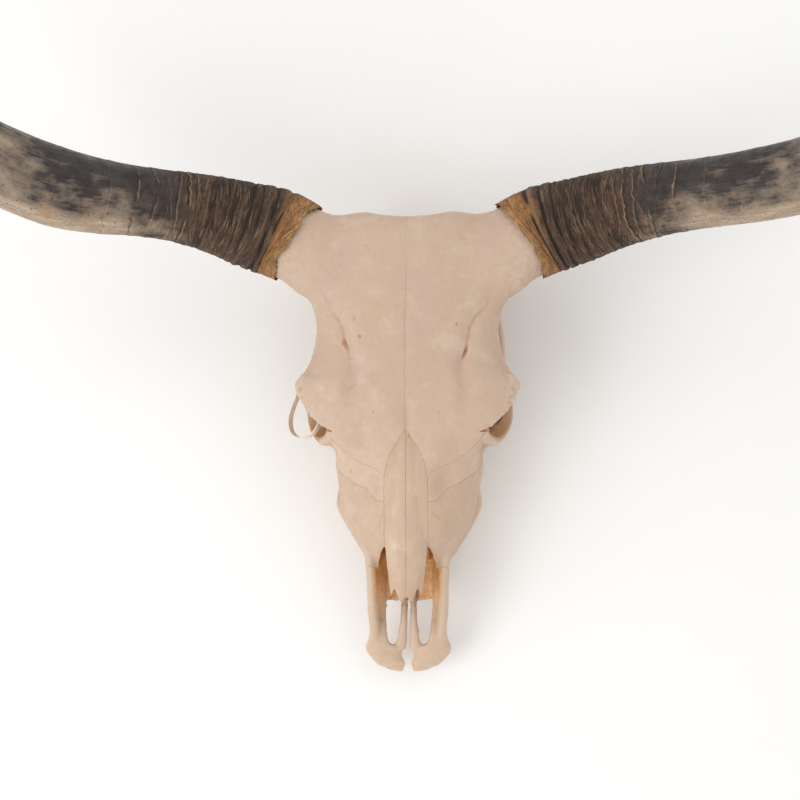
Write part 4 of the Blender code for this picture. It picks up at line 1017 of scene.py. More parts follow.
def sheath_relief(s, around, place, seed):
    """Height of the horn over its smooth form, in millimetres, from the distance s off the rim
    and the turn round it: the bark's share, the whole, and a mask of the plates' edges, above 0
    on the crest and under 0 in the lee. Bark rings are noise stretched round the horn, with
    ridged noise for its cracks; plates are saw teeth that step down at a wandering line and thin
    out towards the rim."""
    circle = cylinder(0 * s, around, NOISE_RADIUS)
    drift = 3.5 * noise(place, 50, seed) + 0.35 * noise(place, 12, seed + 1)
    along = s + drift

    def rings(size, number):
        drawn = np.stack([along, 0 * s, 0 * s], 1) / size * NOISE_RADIUS
        return noise(circle / 2.2 + drawn, NOISE_RADIUS, number)

    bark = window(s, 22, 36, 120, 180)
    fade = 1 - 0.5 * step(s, 50, 150)
    rise = bark * fade * (0.75 * rings(4.6, seed + 2) + 0.7 * np.abs(rings(2.6, seed + 3)) - 0.2)
    rise += bark * 0.22 * noise(place, 2.2, seed + 4)
    crack = 1 - step(np.abs(rings(8, seed + 7)), 0.0, 0.08)
    rise -= bark * (crack * step(rings(30, seed + 44), -0.2, 0.2)) * 0.7
    for at, deep, wide in HORN_FURROWS:
        rise -= deep * step(noise(circle, 17, seed + 8 + at), -0.5, 0.1) * bell(along - at, wide)
    rise += 0.6 * bell(along - 35.5, 4.5) + 0.4 * bell(along - 48, 4)
    lip = 1 - step(s, 20, 30)
    rise += lip * (0.45 * rings(5, seed + 5) + 0.28 * noise(place, 2.4, seed + 6) + 0.2)
    rise -= lip * (1 - step(np.abs(rings(5, seed + 9)), 0.0, 0.08)) * 0.6
    plates, edges = np.zeros(len(s)), np.zeros(len(s))
    for k, (at, strong) in enumerate(HORN_PLATES):
        line = at + 5 * noise(circle, 19, seed + 10 + k) + 1.6 * noise(place, 6, seed + 25 + k)
        gone = s - line
        part = strong * step(noise(circle, 24, seed + 40 + k), -0.45, -0.2)
        plates += part * 0.85 * np.where(gone < 0, np.exp(gone / 9), 0)
        crest, lee = bell(gone + 0.7, 1.0), bell(gone - 1.5, 1.2)
        edges = np.where(part * (crest + lee) > np.abs(edges), part * (crest - lee), edges)
    shown = step(s, 76, 96)
    slate = window(s, 110, 180, 500, 600)
    smooth = slate * (0.10 * rings(9, seed + 60) + 0.10 * noise(place, 4.5, seed + 61))
    return rise, rise + plates * shown + smooth, edges * shown


def sheath(rows, side, sizes, seed):
    """A horn sheath over distance and turn: ovals across the horn's path whose rims lean ahead,
    raised by the bark, with a torn lip and a socket turned back inside."""
    fine = smooth_rows(rows, 900)
    travel = np.concatenate([[0], np.cumsum(np.linalg.norm(np.diff(fine[:, :3], axis=0), axis=1))])
    ahead, up, across = frames(fine[:, :3])
    turn = turns(sizes.around)
    end = travel[-1]
    # The rings stand closer together where the bark is rough
    stations = np.concatenate([np.arange(0, 30, 0.8), np.arange(30, 150, 0.9),
                               np.arange(150, 250, 1.3), np.arange(250, 420, 2.5),
                               np.linspace(420, end, 70)])

    def sections(at, radius):
        centre, forth, rise, wide = (
            np.stack([np.interp(at, travel, a[:, k]) for k in range(3)], 1)[:, None]
            for a in (fine, ahead, up, across))
        lean = RIM_LEAN * np.clip(1 - at / 90.0, 0, None)[:, None]
        reach = radius * np.sin(turn)
        points = centre + rise * (radius * 0.96 * np.cos(turn))[:, :, None]
        return points + wide * reach[:, :, None] + forth * (lean * reach)[:, :, None], forth

    radius = np.interp(stations, travel, fine[:, 3])[:, None] * np.ones((1, len(turn)))
    smooth = sections(stations, radius)[0]
    s = np.repeat(stations, len(turn))
    around = np.tile(turn, len(stations))
    bark, rise, plates = sheath_relief(s, around, smooth.reshape(-1, 3), seed)
    rise = rise.reshape(radius.shape)
    outer, forth = sections(stations, radius - BARK_INSET + rise)
    circle = cylinder(0 * turn, turn, NOISE_RADIUS)
    bites = noise(circle, 10, seed + 70)
    torn = 2.2 * step(bites, -0.12, 0.02) + 1.9 * step(bites, 0.30, 0.38) - 1.8
    torn += 1.1 * noise(circle, 4.5, seed + 71) + 0.5 * noise(circle, 1.9, seed + 72) + 0.4
    torn += RIM_BOW[side] * np.clip(np.cos(turn), 0, 1) ** 1.4
    outer += forth * (torn * (1 - step(stations, 0, 26))[:, None])[:, :, None]

    # The lip rounds over from the wall's inner side in four rings
    wall = SHEATH_WALL * np.array((0.96, 0.7, 0.42, 0.16))[:, None]
    lip, forth = sections(np.zeros(4), radius[0] - BARK_INSET + rise[0] - wall)
    ledge = torn + 0.5 * noise(circle, 2.6, seed + 73) + np.array((1.3, 0.6, 0.1, -0.1))[:, None]
    lip += forth * ledge[:, :, None]
    inner_at = np.array((SHEATH_SOCKET, SHEATH_SOCKET - 1, 27, 21, 15))
    inner_radius = np.interp(inner_at, travel, fine[:, 3])[:, None] - SHEATH_WALL
    inner_radius = inner_radius * np.array((0.6, 1, 1, 1, 1))[:, None] * np.ones((1, len(turn)))
    inner = sections(inner_at, inner_radius)[0]
    rings = np.concatenate([inner, lip, outer]) * (side, 1, 1)
    inside = np.zeros((len(inner) + len(lip)) * len(turn))
    ends = np.zeros(2)
    turned = np.concatenate([np.tile(turn, len(inner) + len(lip)), around, ends])
    gone = np.concatenate([inside, s, (0, end)])
    return shell(rings), {
        "straight": cylinder(gone, turned, FINISH_RADIUS) * 0.001,
        # edge marks the socket and the torn lip, which the material paints dark brown as painted
        # shade
        "edge": np.concatenate([inside + 1, 0 * s, (1, 0)]),
        # ridge is the bark's height and plate the plates' edges: the material paints shade in
        # their low places and lee, and a highlight on the bark's crests
        "ridge": np.concatenate([inside, bark, ends]),
        "plate": np.concatenate([inside, plates, ends]),
    }


def strap(sizes):
    """A flat band: a rounded rectangle carried round a closed path, its width standing across
    the loop's plane, and a little thicker where its ends are joined."""
    count = 260
    path = np.array(BAND_PATH, float)
    path = smooth_rows(np.vstack([path, path, path]), count * 3 + 1)[count : 2 * count]
    ahead = unit(np.roll(path, -1, axis=0) - np.roll(path, 1, axis=0))
    axis = np.cross(path - path.mean(axis=0), ahead).sum(axis=0)
    axis /= np.linalg.norm(axis)
    out = unit(np.cross(ahead, axis))
    turn = turns(28)
    # Half of each size, from metres to millimetres
    wide = sizes.width * 500 * power(np.cos(turn), 0.34)
    thick = sizes.thickness * 500 * power(np.sin(turn), 0.5)
    seam = 0.25 * np.exp(-(((np.arange(count) - 30) / 7.0) ** 8))[:, None]
    rings = path[:, None] + axis * wide[None, :, None] \
        + out[:, None] * (thick * (1 + seam))[:, :, None]
    return shell(rings, loop=True)


class Nodes:
    """The nodes of a material or of an effect, under short names."""

    def __init__(self, tree):
        self.tree = tree

    def give(self, socket, value):
        """Sets a socket to a value, or links another node's output to it."""
        if isinstance(value, bpy.types.NodeSocket):
            self.tree.links.new(value, socket)
        else:
            socket.default_value = value

    def add(self, kind, inputs=None, **settings):
        """A shader node. Each input is a number, a colour or another node's output."""
        made = self.tree.nodes.new("ShaderNode" + kind)
        for name, value in settings.items():
            setattr(made, name, value)
        for key, value in (inputs or {}).items():
            self.give(made.inputs[key], value)
        return made

    def mix(self, share, one, two):
        """Two colours blended by a share."""
        one, two = (colour if isinstance(colour, bpy.types.NodeSocket) else (*colour[:3], 1.0)
                    for colour in (one, two))
        return self.add("Mix", {0: share, 6: one, 7: two}, data_type="RGBA").outputs[2]

    def over(self, colour, *layers):
        """A colour under layers, each a share and another colour."""
        for share, paint in layers:
            colour = self.mix(share, colour, paint)
        return colour

    def ranged(self, value, low, high, start=0.0, end=1.0):
        """A value carried from one range to another and held there."""
        return self.add("MapRange", {"Value": value, "From Min": low, "From Max": high,
                                     "To Min": start, "To Max": end}).outputs[0]

    def calc(self, operation, one, two=0.0):
        """One sum on two values."""
        return self.add("Math", {0: one, 1: two}, operation=operation).outputs[0]

    def times(self, value, *others):
        """A value multiplied by others in turn."""
        for other in others:
            value = self.calc("MULTIPLY", value, other)
        return value

    def plus(self, value, *others):
        """A value with others added in turn."""
        for other in others:
            value = self.calc("ADD", value, other)
        return value

    def ramp(self, value, *stops):
        """A colour that changes along a value."""
        made = self.add("ValToRGB", {"Fac": value})
        band = made.color_ramp
        while len(band.elements) < len(stops):
            band.elements.new(1.0)
        for element, (place, colour) in zip(band.elements, stops):
            element.position = place
            element.color = (*colour[:3], 1.0)
        return made.outputs["Color"]

    def mask(self, name):
        """A number that the mesh carries."""
        return self.add("Attribute", attribute_name=name).outputs["Fac"]

    def noise(self, vector, scale, detail=2.0, roughness=0.5):
        """Layered noise, about 0 to 1."""
        return self.add("TexNoise", {"Vector": vector, "Scale": scale, "Detail": detail,
                                     "Roughness": roughness}).outputs["Fac"]

    def stretch(self, vector, *scale):
        """A pattern's coordinates drawn out along some axes."""
        return self.add("Mapping", {"Vector": vector, "Scale": scale}).outputs[0]

    def bump(self, height, strength, distance, **under):
        """Fine height made into a normal, over another normal if there is one."""
        return self.add("Bump", {"Height": height, "Strength": strength, "Distance": distance,
                                 **under}).outputs[0]

    def effect(self, name, vector, scale, **levels):
        """One of the shared patterns, placed with its own size and levels."""
        made = self.add("Group", node_tree=bpy.data.node_groups.get(name) or EFFECTS[name]())
        for key, value in {"Vector": vector, "Scale": scale, **levels}.items():
            self.give(made.inputs[key], value)
        return made.outputs["Mask"]

    def mottle(self, vector, scale, low, high):
        """Soft patches."""
        return self.effect("Mottle", vector, scale, Low=low, High=high)

    def pores(self, vector, scale, size):
        """Pin holes."""
        return self.effect("Pores", vector, scale, Size=size, Share=0.5)

    def cracks(self, vector, scale, width):
        """Thin wandering lines."""
        return self.effect("Cracks", vector, scale, Width=width)


class Finish(Nodes):
    """A material with its shader and object coordinates."""

    def __init__(self, name):
        self.material = bpy.data.materials.new(name)
        self.material.use_nodes = True
        super().__init__(self.material.node_tree)
        self.shader = self.tree.nodes["Principled BSDF"]
        self.place = self.add("TexCoord").outputs["Object"]

    def done(self, **inputs):
        """Feeds the shader and gives the material."""
        for key, value in inputs.items():
            self.give(self.shader.inputs[key.replace("_", " ")], value)
        return self.material


def light(red, green, blue):
    """A colour given as it looks on a screen, 0 to 255, as linear light."""
    values = np.array((red, green, blue)) / 255.0
    return tuple(np.where(values > 0.04045, ((values + 0.055) / 1.055) ** 2.4, values / 12.92))


def effect_group(name, **inputs):
    """A new node group for a pattern: it takes a vector and numbers, and gives a mask. Beside
    the group come its input sockets and the socket that the mask goes to."""
    tree = bpy.data.node_groups.new(name, "ShaderNodeTree")
    tree.interface.new_socket("Vector", in_out="INPUT", socket_type="NodeSocketVector")
    for label, value in inputs.items():
        socket = tree.interface.new_socket(label, in_out="INPUT", socket_type="NodeSocketFloat")
        socket.default_value = value
    tree.interface.new_socket("Mask", in_out="OUTPUT", socket_type="NodeSocketFloat")
    given = tree.nodes.new("NodeGroupInput").outputs
    return Nodes(tree), given, tree.nodes.new("NodeGroupOutput").inputs["Mask"]


def mottle_group():
    """Soft patches: layered noise between two levels becomes a mask from 0 to 1."""
    n, given, mask = effect_group("Mottle", Scale=10.0, Low=0.4, High=0.65)
    cloud = n.noise(given["Vector"], given["Scale"], 5.0, 0.62)
    n.give(mask, n.ranged(cloud, given["Low"], given["High"]))
    return n.tree


def pore_group():
    """Scattered pin holes: the middles of Voronoi cells, kept only where a noise lets them."""
    n, given, mask = effect_group("Pores", Scale=300.0, Size=0.25, Share=0.5)
    cells = n.add("TexVoronoi", {"Vector": given["Vector"], "Scale": given["Scale"],
                                 "Randomness": 1.0})
    pin = n.ranged(cells.outputs["Distance"], given["Size"], 0.0)
    let = n.noise(given["Vector"], n.times(given["Scale"], 0.13))
    n.give(mask, n.times(pin, n.ranged(n.plus(let, given["Share"]), 1.0, 1.12)))
    return n.tree


def crack_group():
    """Thin wandering lines: where layered noise crosses its middle value."""
    n, given, mask = effect_group("Cracks", Scale=100.0, Width=0.02)
    cloud = n.noise(given["Vector"], given["Scale"], 3.0, 0.55)
    away = n.calc("ABSOLUTE", n.calc("SUBTRACT", cloud, 0.5))
    n.give(mask, n.ranged(away, given["Width"], 0.0))
    return n.tree


EFFECTS = {"Mottle": mottle_group, "Pores": pore_group, "Cracks": crack_group}


def bone_material(name, looks, base, warm):
    """Dry bone: a base in yellowish and pinkish clouds, pale polished patches, painted shade in
    hollows and broad dents, a painted highlight on swells, amber depths, pin holes, painted shadow
    on the rods under the tips of the nose, and a dull gloss that comes and goes."""
    n = Finish(name)
    place = n.place
    broad = n.mottle(place, 11.0, 0.42, 0.62)
    pink = n.mottle(n.stretch(place, 1, 0.6, 1), 24.0, 0.50, 0.66)
    cream = n.mottle(place, 37.0, 0.52, 0.68)
    small = n.mottle(place, 150.0, 0.40, 0.66)
    grain = n.mottle(n.stretch(place, 1, 0.16, 1), 460.0, 0.35, 0.7)
    pins = n.pores(place, 330.0, 0.30)
    scratch = n.cracks(place, 70.0, 0.006)
    rough, deep, nose, hollow, line, hole, warmth, dusk, bar, skin = (
        n.mask(mask) for mask in ("rough", "deep", "nose", "hollow", "line", "hole", "warmth",
                                  "dusk", "bar", "skin"))
    shade = n.plus(deep, n.ranged(small, 0, 1, -0.22, 0.16))
    depths = n.mix(
        nose, n.ramp(shade, (0.3, looks.stain_and_shade), (1.0, looks.socket)),
        n.ramp(shade, (0.0, looks.stain_and_shade), (0.55, looks.amber), (1.0, looks.dark_amber)))
    # A cut wall carries no skin: it shows as the thin brown line of a suture
    aside = n.calc("ABSOLUTE", n.add("SeparateXYZ", {"Vector": place}).outputs["X"])
    seam = n.times(n.ranged(skin, 0.45, 0.0), n.ranged(aside, 0.018, 0.032, 0.36, 0.20))
    colour = n.over(
        n.mix(warmth, base, warm),
        (n.times(broad, 0.45), looks.yellow),
        (n.times(pink, 0.55), looks.pink),
        (n.times(cream, 0.45), looks.pale),
        (n.times(small, 0.16), looks.stain_and_shade),
        (n.times(grain, 0.10), looks.pale),
        (n.times(rough, n.ranged(small, 0.2, 0.8, 0.0, 0.28)), looks.fleck),
        # Painted shade: hollows of the skin darkened
        (n.ranged(hollow, 0.10, 0.95, 0.0, 0.42), looks.stain_and_shade),
        # Painted shade in the broad dents
        (n.times(dusk, 0.6), looks.dusk),
        # Painted highlight: swells of the skin lightened
        (n.ranged(hollow, -0.15, -0.95, 0.0, 0.35), looks.pale),
        (n.times(pins, n.ranged(rough, 0, 1, 0.25, 0.6)), looks.stain_and_shade),
        (n.times(scratch, n.times(pink, 0.3)), looks.stain_and_shade),
        (n.ranged(deep, 0.05, 0.8), depths),
        (n.times(line, 0.8), looks.crack),
        # Painted shadow on the rods under the tips of the nose
        (n.times(bar, 0.62), looks.bar),
        (n.times(hole, 0.75), looks.crack),
        (seam, looks.suture),
    )
    gloss = n.plus(n.ranged(cream, 0, 1, 0.46, 0.28), n.times(small, 0.14), n.times(rough, 0.22),
                   n.times(nose, 0.1))
    height = n.calc("SUBTRACT", n.times(n.noise(place, 560.0, 4.0, 0.6), 0.5), pins)
    fine = n.bump(n.plus(height, n.times(grain, 0.25)), 0.6, 0.00045)
    lumps = n.bump(n.noise(place, 120.0, 4.0), 0.42, 0.0014, Normal=fine)
    return n.done(Base_Color=colour, Roughness=gloss, Normal=lumps, Specular_IOR_Level=0.5)


def tooth_material(looks):
    """Cheek teeth: cream enamel, brown cement low on the crown and in its folds, and a chewing
    face of brown dentine with pale ridges round dark pits."""
    n = Finish("Tooth enamel")
    worn, ridge, pit, crown = (n.mask(mask) for mask in ("worn", "enamel", "pit", "crown"))
    streak = n.mottle(n.stretch(n.place, 1, 1, 0.12), 260.0, 0.35, 0.68)
    patch = n.mottle(n.place, 60.0, 0.4, 0.65)
    pins = n.pores(n.place, 420.0, 0.3)
    side = n.over(n.mix(n.ranged(crown, 0.25, 0.75), looks.cement, looks.enamel),
                  (n.times(streak, 0.5), looks.cement), (n.times(patch, 0.3), looks.stain_and_shade))
    face = n.over(looks.dentine, (n.times(patch, 0.6), looks.stain_and_shade), (ridge, looks.enamel),
                  (n.times(pit, 0.8), looks.crack))
    colour = n.over(side, (worn, face), (n.times(pins, 0.3), looks.crack))
    return n.done(
        Base_Color=colour, Roughness=n.ranged(n.plus(streak, worn), 0, 2, 0.28, 0.5),
        Normal=n.bump(n.calc("SUBTRACT", streak, pins), 0.4, 0.0005), Specular_IOR_Level=0.55)


def horn_material(looks):
    """Horn read along its straightened length: an ochre torn rim with dark cracks, brown bark in
    fine pale hairlines and black bands, slate plates with tan edges, then slate marbled with
    streaky cream, tan and specked on the side towards the face, and a dark tip. Painted shade
    darkens the torn edge, the bark's low places and the plates' lee; a painted highlight lightens
    the bark's crests."""
    n = Finish("Horn sheath")
    place = n.place
    straight = n.add("Attribute", attribute_name="straight").outputs["Vector"]
    off_rim, level, outer = n.add("SeparateXYZ", {"Vector": straight}).outputs
    edge, ridge, plate = (n.mask(mask) for mask in ("edge", "ridge", "plate"))
    wide = n.noise(place, 34.0, 5.0, 0.65)
    near = n.noise(place, 130.0, 3.0, 0.6)
    along = n.plus(off_rim, n.ranged(wide, 0.2, 0.8, -0.022, 0.022))
    bent = n.plus(off_rim, n.ranged(n.noise(place, 26.0, 1.0), 0.2, 0.8, -0.005, 0.005),
                  n.ranged(near, 0.2, 0.8, -0.0006, 0.0006))
    lay = n.add("CombineXYZ", {"X": bent, "Y": level, "Z": outer}).outputs[0]
    rings = n.mottle(n.stretch(lay, 1, 0.09, 0.09), 430.0, 0.40, 0.62)
    hairs = n.mottle(n.stretch(lay, 1, 0.08, 0.08), 640.0, 0.53, 0.64)
    splits = n.cracks(n.stretch(lay, 1, 0.13, 0.13), 190.0, 0.020)
    bands = n.mottle(n.stretch(lay, 1, 0.22, 0.22), 75.0, 0.46, 0.60)
    streaks = n.mottle(n.stretch(straight, 0.10, 1, 1), 330.0, 0.40, 0.64)
    clouds = n.noise(n.stretch(straight, 0.6, 1, 1), 26.0, 4.0, 0.55)
    patch = n.mottle(place, 85.0, 0.46, 0.60)
    specks = n.mottle(place, 360.0, 0.58, 0.66)
    pins = n.pores(place, 260.0, 0.34)
    face_side = n.ranged(outer, -0.012, 0.034)

    pale = n.times(n.ranged(off_rim, 0.008, 0.002), n.ranged(patch, 1, 0, 0.15, 0.7))
    ochre = n.over(looks.rim, (n.times(rings, 0.6), looks.rim_dark),
                   (n.times(patch, 0.45), looks.lilac), (pale, looks.rim_pale),
                   (n.times(bands, 0.35), looks.rim_dark), (n.times(specks, 0.4), looks.bark_dark))
    bark = n.over(looks.bark, (n.times(patch, 0.5), looks.lilac),
                  (n.times(rings, 0.35), looks.bark_dark), (n.times(bands, 0.72), looks.bark_dark),
                  (n.times(hairs, 0.6), looks.hairline_and_crest_highlight))
    cream = n.over(looks.cream, (n.times(streaks, 0.6), looks.cream_dark),
                   (n.times(specks, 0.8), looks.slate))
    # Cream shows in streaky clouds, mostly far out and on the side towards the face
    creamy = n.plus(clouds, n.ranged(streaks, 0, 1, -0.05, 0.05),
                    n.ranged(wide, 0.3, 0.7, -0.05, 0.05), n.ranged(face_side, 0, 1, -0.12, 0.19),
                    n.ranged(along, 0.15, 0.30, -0.22, 0.07))
    creamy = n.times(n.ranged(creamy, 0.38, 0.70), n.ranged(along, 0.60, 0.48), 0.95)
    tan = n.over(looks.cheek, (n.times(patch, 0.5), looks.rust),
                 (n.times(specks, 0.8), looks.bark_dark))
    tanned = n.times(face_side, n.ranged(wide, 0.50, 0.64), n.ranged(along, 0.5, 0.3), 0.5)
    slate = n.over(looks.slate, (n.times(streaks, 0.35), looks.slate_light),
                   (n.ranged(clouds, 0.42, 0.60, 0.0, 0.35), looks.slate_light),
                   (n.times(patch, 0.35), looks.bark_dark), (creamy, cream), (tanned, tan))

    turn = n.plus(along, n.ranged(rings, 0, 1, -0.020, 0.020))
    old = n.ranged(off_rim, 0.34, 0.16)
    colour = n.over(
        bark,
        (n.ranged(turn, 0.115, 0.170), slate),
        (n.ranged(bent, 0.040, 0.022), ochre),
        (n.ranged(along, 0.52, 0.64), looks.tip),
        (n.times(splits, n.ranged(off_rim, 0.20, 0.10, 0.0, 0.7)), looks.bark_dark),
        (n.times(n.ranged(plate, 0.3, 0.9, 0.0, 0.75), old), looks.flake),
        # Painted shadow below each plate's step
        (n.times(n.ranged(plate, -0.2, -0.9, 0.0, 0.85), old), looks.bark_dark),
        # Painted highlight on the bark's crests
        (n.times(n.ranged(ridge, 0.35, 1.1, 0.0, 0.35), old), looks.hairline_and_crest_highlight),
        # Painted shade in the bark's low places
        (n.ranged(ridge, -0.2, -0.9, 0.0, 0.85), looks.bark_dark),
        (n.times(pins, n.ranged(off_rim, 0.30, 0.04, 0.1, 0.5)), looks.bark_dark),
        # Painted shade on the socket and the torn lip
        (edge, n.mix(patch, looks.rim_dark, looks.lip)),
    )
    dull = n.add("Mix", {"Factor": n.ranged(along, 0.12, 0.22), "A": 0.80, "B": 0.46},
                 data_type="FLOAT").outputs[0]
    dull = n.plus(dull, n.ranged(along, 0.50, 0.62, 0.0, -0.14), n.times(patch, 0.14))
    coarse = n.ranged(along, 0.24, 0.08, 0.12, 1.0)
    fine = n.noise(place, 640.0, 4.0)
    height = n.plus(n.times(n.plus(rings, hairs), coarse), n.times(fine, 0.35))
    height = n.calc("SUBTRACT", height, n.times(n.plus(pins, splits), coarse))
    height = n.plus(height, n.times(streaks, 0.25))
    return n.done(Base_Color=colour, Roughness=dull, Normal=n.bump(height, 0.7, 0.0010),
                  Specular_IOR_Level=0.45)


def band_material(looks):
    """Moulded plastic, a little yellowed, scuffed and dusty."""
    n = Finish("Moulded band")
    scuff = n.mottle(n.stretch(n.place, 0.3, 1, 1), 900.0, 0.5, 0.72)
    patch = n.mottle(n.place, 45.0, 0.42, 0.68)
    colour = n.over(looks.plastic, (n.times(patch, 0.35), looks.plastic_dark),
                    (n.times(scuff, 0.2), looks.plastic_dark))
    return n.done(Base_Color=colour, Roughness=n.ranged(scuff, 0, 1, 0.32, 0.55),
                  Normal=n.bump(scuff, 0.3, 0.0003))


def floor_material():
    """Pale matt card in two whites."""
    n = Finish("Pale floor")
    patch = n.mottle(n.place, 3.0, 0.3, 0.7)
    return n.done(Base_Color=n.mix(patch, (0.96, 0.96, 0.955), (0.94, 0.94, 0.935)),
                  Roughness=0.85)


def laid_down(obj, look, nodes=(), sharp=50):
    """Puts a finished piece in its place on the floor, gives it its material and hands it over."""
    mesh = obj.data
    mesh.transform(PLACE)
    mesh.materials.clear()
    mesh.materials.append(look)
    mesh.shade_smooth()
    mesh.set_sharp_from_angle(angle=math.radians(sharp))
    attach(obj, "root")
    if nodes:
        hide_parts(*nodes)
    return obj


class BoneSizes(bpy.types.PropertyGroup):
    """Sizes of the bone."""

    grain: FloatProperty(
        name="Grain", description="Size of the faces on the bone", default=0.00135,
        min=0.0008, max=0.006, subtype="DISTANCE", unit="LENGTH", precision=5)
    relief: FloatProperty(
        name="Relief", description="Strength of the swells, furrows and pits", default=1.0,
        min=0.0, max=2.0, subtype="FACTOR")
    suture_gap: FloatProperty(
        name="Suture gap", description="Clearance between neighbouring bones", default=0.0003,
        min=0.0001, max=0.002, subtype="DISTANCE", unit="LENGTH", precision=5)
    suture_wander: FloatProperty(
        name="Suture wander", description="How far a suture strays from straight",
        default=0.0011, min=0.0, max=0.003, subtype="DISTANCE", unit="LENGTH", precision=5)


class HornSizes(bpy.types.PropertyGroup):
    """Sizes of the horn sheaths."""

    around: IntProperty(
        name="Faces around", description="Faces in each ring of a sheath", default=184,
        min=24, max=220)


class BandSizes(bpy.types.PropertyGroup):
    """Sizes of the plastic band."""

    width: FloatProperty(
        name="Width", description="Width of the band", default=0.0075, min=0.003, max=0.012,
        subtype="DISTANCE", unit="LENGTH", precision=4)
    thickness: FloatProperty(
        name="Thickness", description="Thickness of the band", default=0.0016, min=0.0008,
        max=0.003, subtype="DISTANCE", unit="LENGTH", precision=4)


def colour_property(name, red, green, blue):
    """A colour that can be changed in the panel."""
    return FloatVectorProperty(name=name, description="Colour of: " + name.lower(),
                               default=light(red, green, blue), subtype="COLOR", min=0, max=1)


class Looks(bpy.types.PropertyGroup):
    """Colours of every finish."""

    bone: colour_property("Forehead bone", 195, 169, 149)
    face: colour_property("Face bone", 211, 183, 159)
    nasal: colour_property("Nasal bone", 165, 138, 114)
    yellow: colour_property("Yellowed bone", 199, 171, 143)
    pink: colour_property("Pinkish bone", 192, 165, 150)
    # Painted shade in the broad dents
    dusk: colour_property("Painted shade in broad dents", 188, 160, 140)
    # Also painted highlight on the bone's swells
    pale: colour_property("Polished bone, and painted highlight on swells", 214, 192, 172)
    fleck: colour_property("Rough bone, flecks", 216, 196, 180)
    # Also painted shade in the bone's hollows
    stain_and_shade: colour_property("Stained bone, and painted shade in hollows", 178, 140, 106)
    suture: colour_property("Sutures", 164, 124, 94)
    crack: colour_property("Cracks and pits", 186, 122, 80)
    socket: colour_property("Eye sockets and other depths", 198, 150, 104)
    amber: colour_property("Amber inside of the nose", 232, 192, 146)
    dark_amber: colour_property("Deep inside of the nose", 214, 156, 98)
    enamel: colour_property("Enamel", 224, 212, 190)
    cement: colour_property("Cement", 176, 144, 106)
    dentine: colour_property("Dentine", 176, 138, 96)
    rim: colour_property("Horn rim", 186, 134, 80)
    rim_dark: colour_property("Horn rim, dark", 104, 66, 38)
    rim_pale: colour_property("Horn rim, pale", 196, 152, 100)
    # Painted shade on the horn's torn edge
    lip: colour_property("Horn rim, painted shade on its torn edge", 112, 74, 40)
    lilac: colour_property("Horn bark, greyed", 114, 92, 78)
    # Painted shadow on the rods under the tips of the nose
    bar: colour_property("Painted shadow on the palate's rods", 116, 84, 62)
    bark: colour_property("Horn bark", 86, 61, 45)
    # Also painted shade in the bark's furrows and the plates' lee
    bark_dark: colour_property("Horn dark bands and cracks, and painted shade in furrows", 30, 20, 13)
    # Also painted highlight on the bark's crests
    hairline_and_crest_highlight: colour_property("Horn hairlines, and painted highlight on crests", 152, 126, 102)
    slate: colour_property("Slate horn", 41, 33, 31)
    slate_light: colour_property("Slate horn, streaks", 78, 71, 69)
    cream: colour_property("Cream horn", 192, 168, 144)
    cream_dark: colour_property("Cream horn, dark", 112, 102, 92)
    cheek: colour_property("Tan horn", 164, 134, 104)
    rust: colour_property("Tan horn, rusty", 150, 102, 62)
    flake: colour_property("Flake edges", 168, 138, 106)
    tip: colour_property("Horn tip", 30, 25, 24)
    plastic: colour_property("Plastic", 236, 222, 204)
    plastic_dark: colour_property("Plastic, yellowed", 214, 188, 160)


class StageSizes(bpy.types.PropertyGroup):
    """Sizes of the stage."""

    distance: FloatProperty(
        name="Camera distance", description="From the forehead to the camera", default=1.8,
        min=1.0, max=4.0, subtype="DISTANCE", unit="LENGTH")
    lean: FloatProperty(
        name="Camera lean", description="Lean of the view towards the left horn",
        default=math.radians(3.4), subtype="ANGLE", unit="ROTATION")
    span: FloatProperty(
        name="Frame", description="Width that the frame takes in at the forehead", default=0.888,
        min=0.5, max=2.0, subtype="DISTANCE", unit="LENGTH")
    key: FloatProperty(name="Key light", description="Power of the key light", default=25.0,
                       min=0.0, max=500.0, unit="POWER")
    sky: FloatProperty(name="Sky", description="Strength of the light from all round",
                       default=0.84, min=0.0, max=3.0)


class SKULL_OT_bones(bpy.types.Operator):
    """Builds the bone in one piece and parts it along its sutures into sixteen bones"""

    bl_idname = "skull.bones"
    bl_label = "Bones"

    def execute(self, context):
        sizes, looks = context.scene.skull_bone, context.scene.skull_looks
        bone = bone_material("Weathered bone", looks, looks.bone, looks.face)
        pale = bone_material("Pale bone", looks, looks.nasal, looks.face)
        slots = {"nasal": "bone_pale", "incisive": "bone_pale", "maxilla": "bone_with_teeth"}
        for obj in part_bones(whole_bone(sizes), sizes):
            node = obj.name.removeprefix("fine_")
            kind = node.split("_")[0]
            laid_down(obj, pale if kind in slots else bone, [node])
        return {"FINISHED"}


class SKULL_OT_teeth(bpy.types.Operator):
    """Builds the two rows of cheek teeth, set in the jaw bones"""

    bl_idname = "skull.teeth"
    bl_label = "Teeth"

    def execute(self, context):
        look = tooth_material(context.scene.skull_looks)
        for label, side in (("left", 1), ("right", -1)):
            made = [tooth(row, side) for row in CHEEK_TEETH]
            obj = put_mesh("teeth_" + label, stacked([form for form, _ in made]))
            for name in made[0][1]:
                write_mask(obj.data, name, np.concatenate([masks[name] for _, masks in made]))
            laid_down(obj, look, sharp=75)
        return {"FINISHED"}


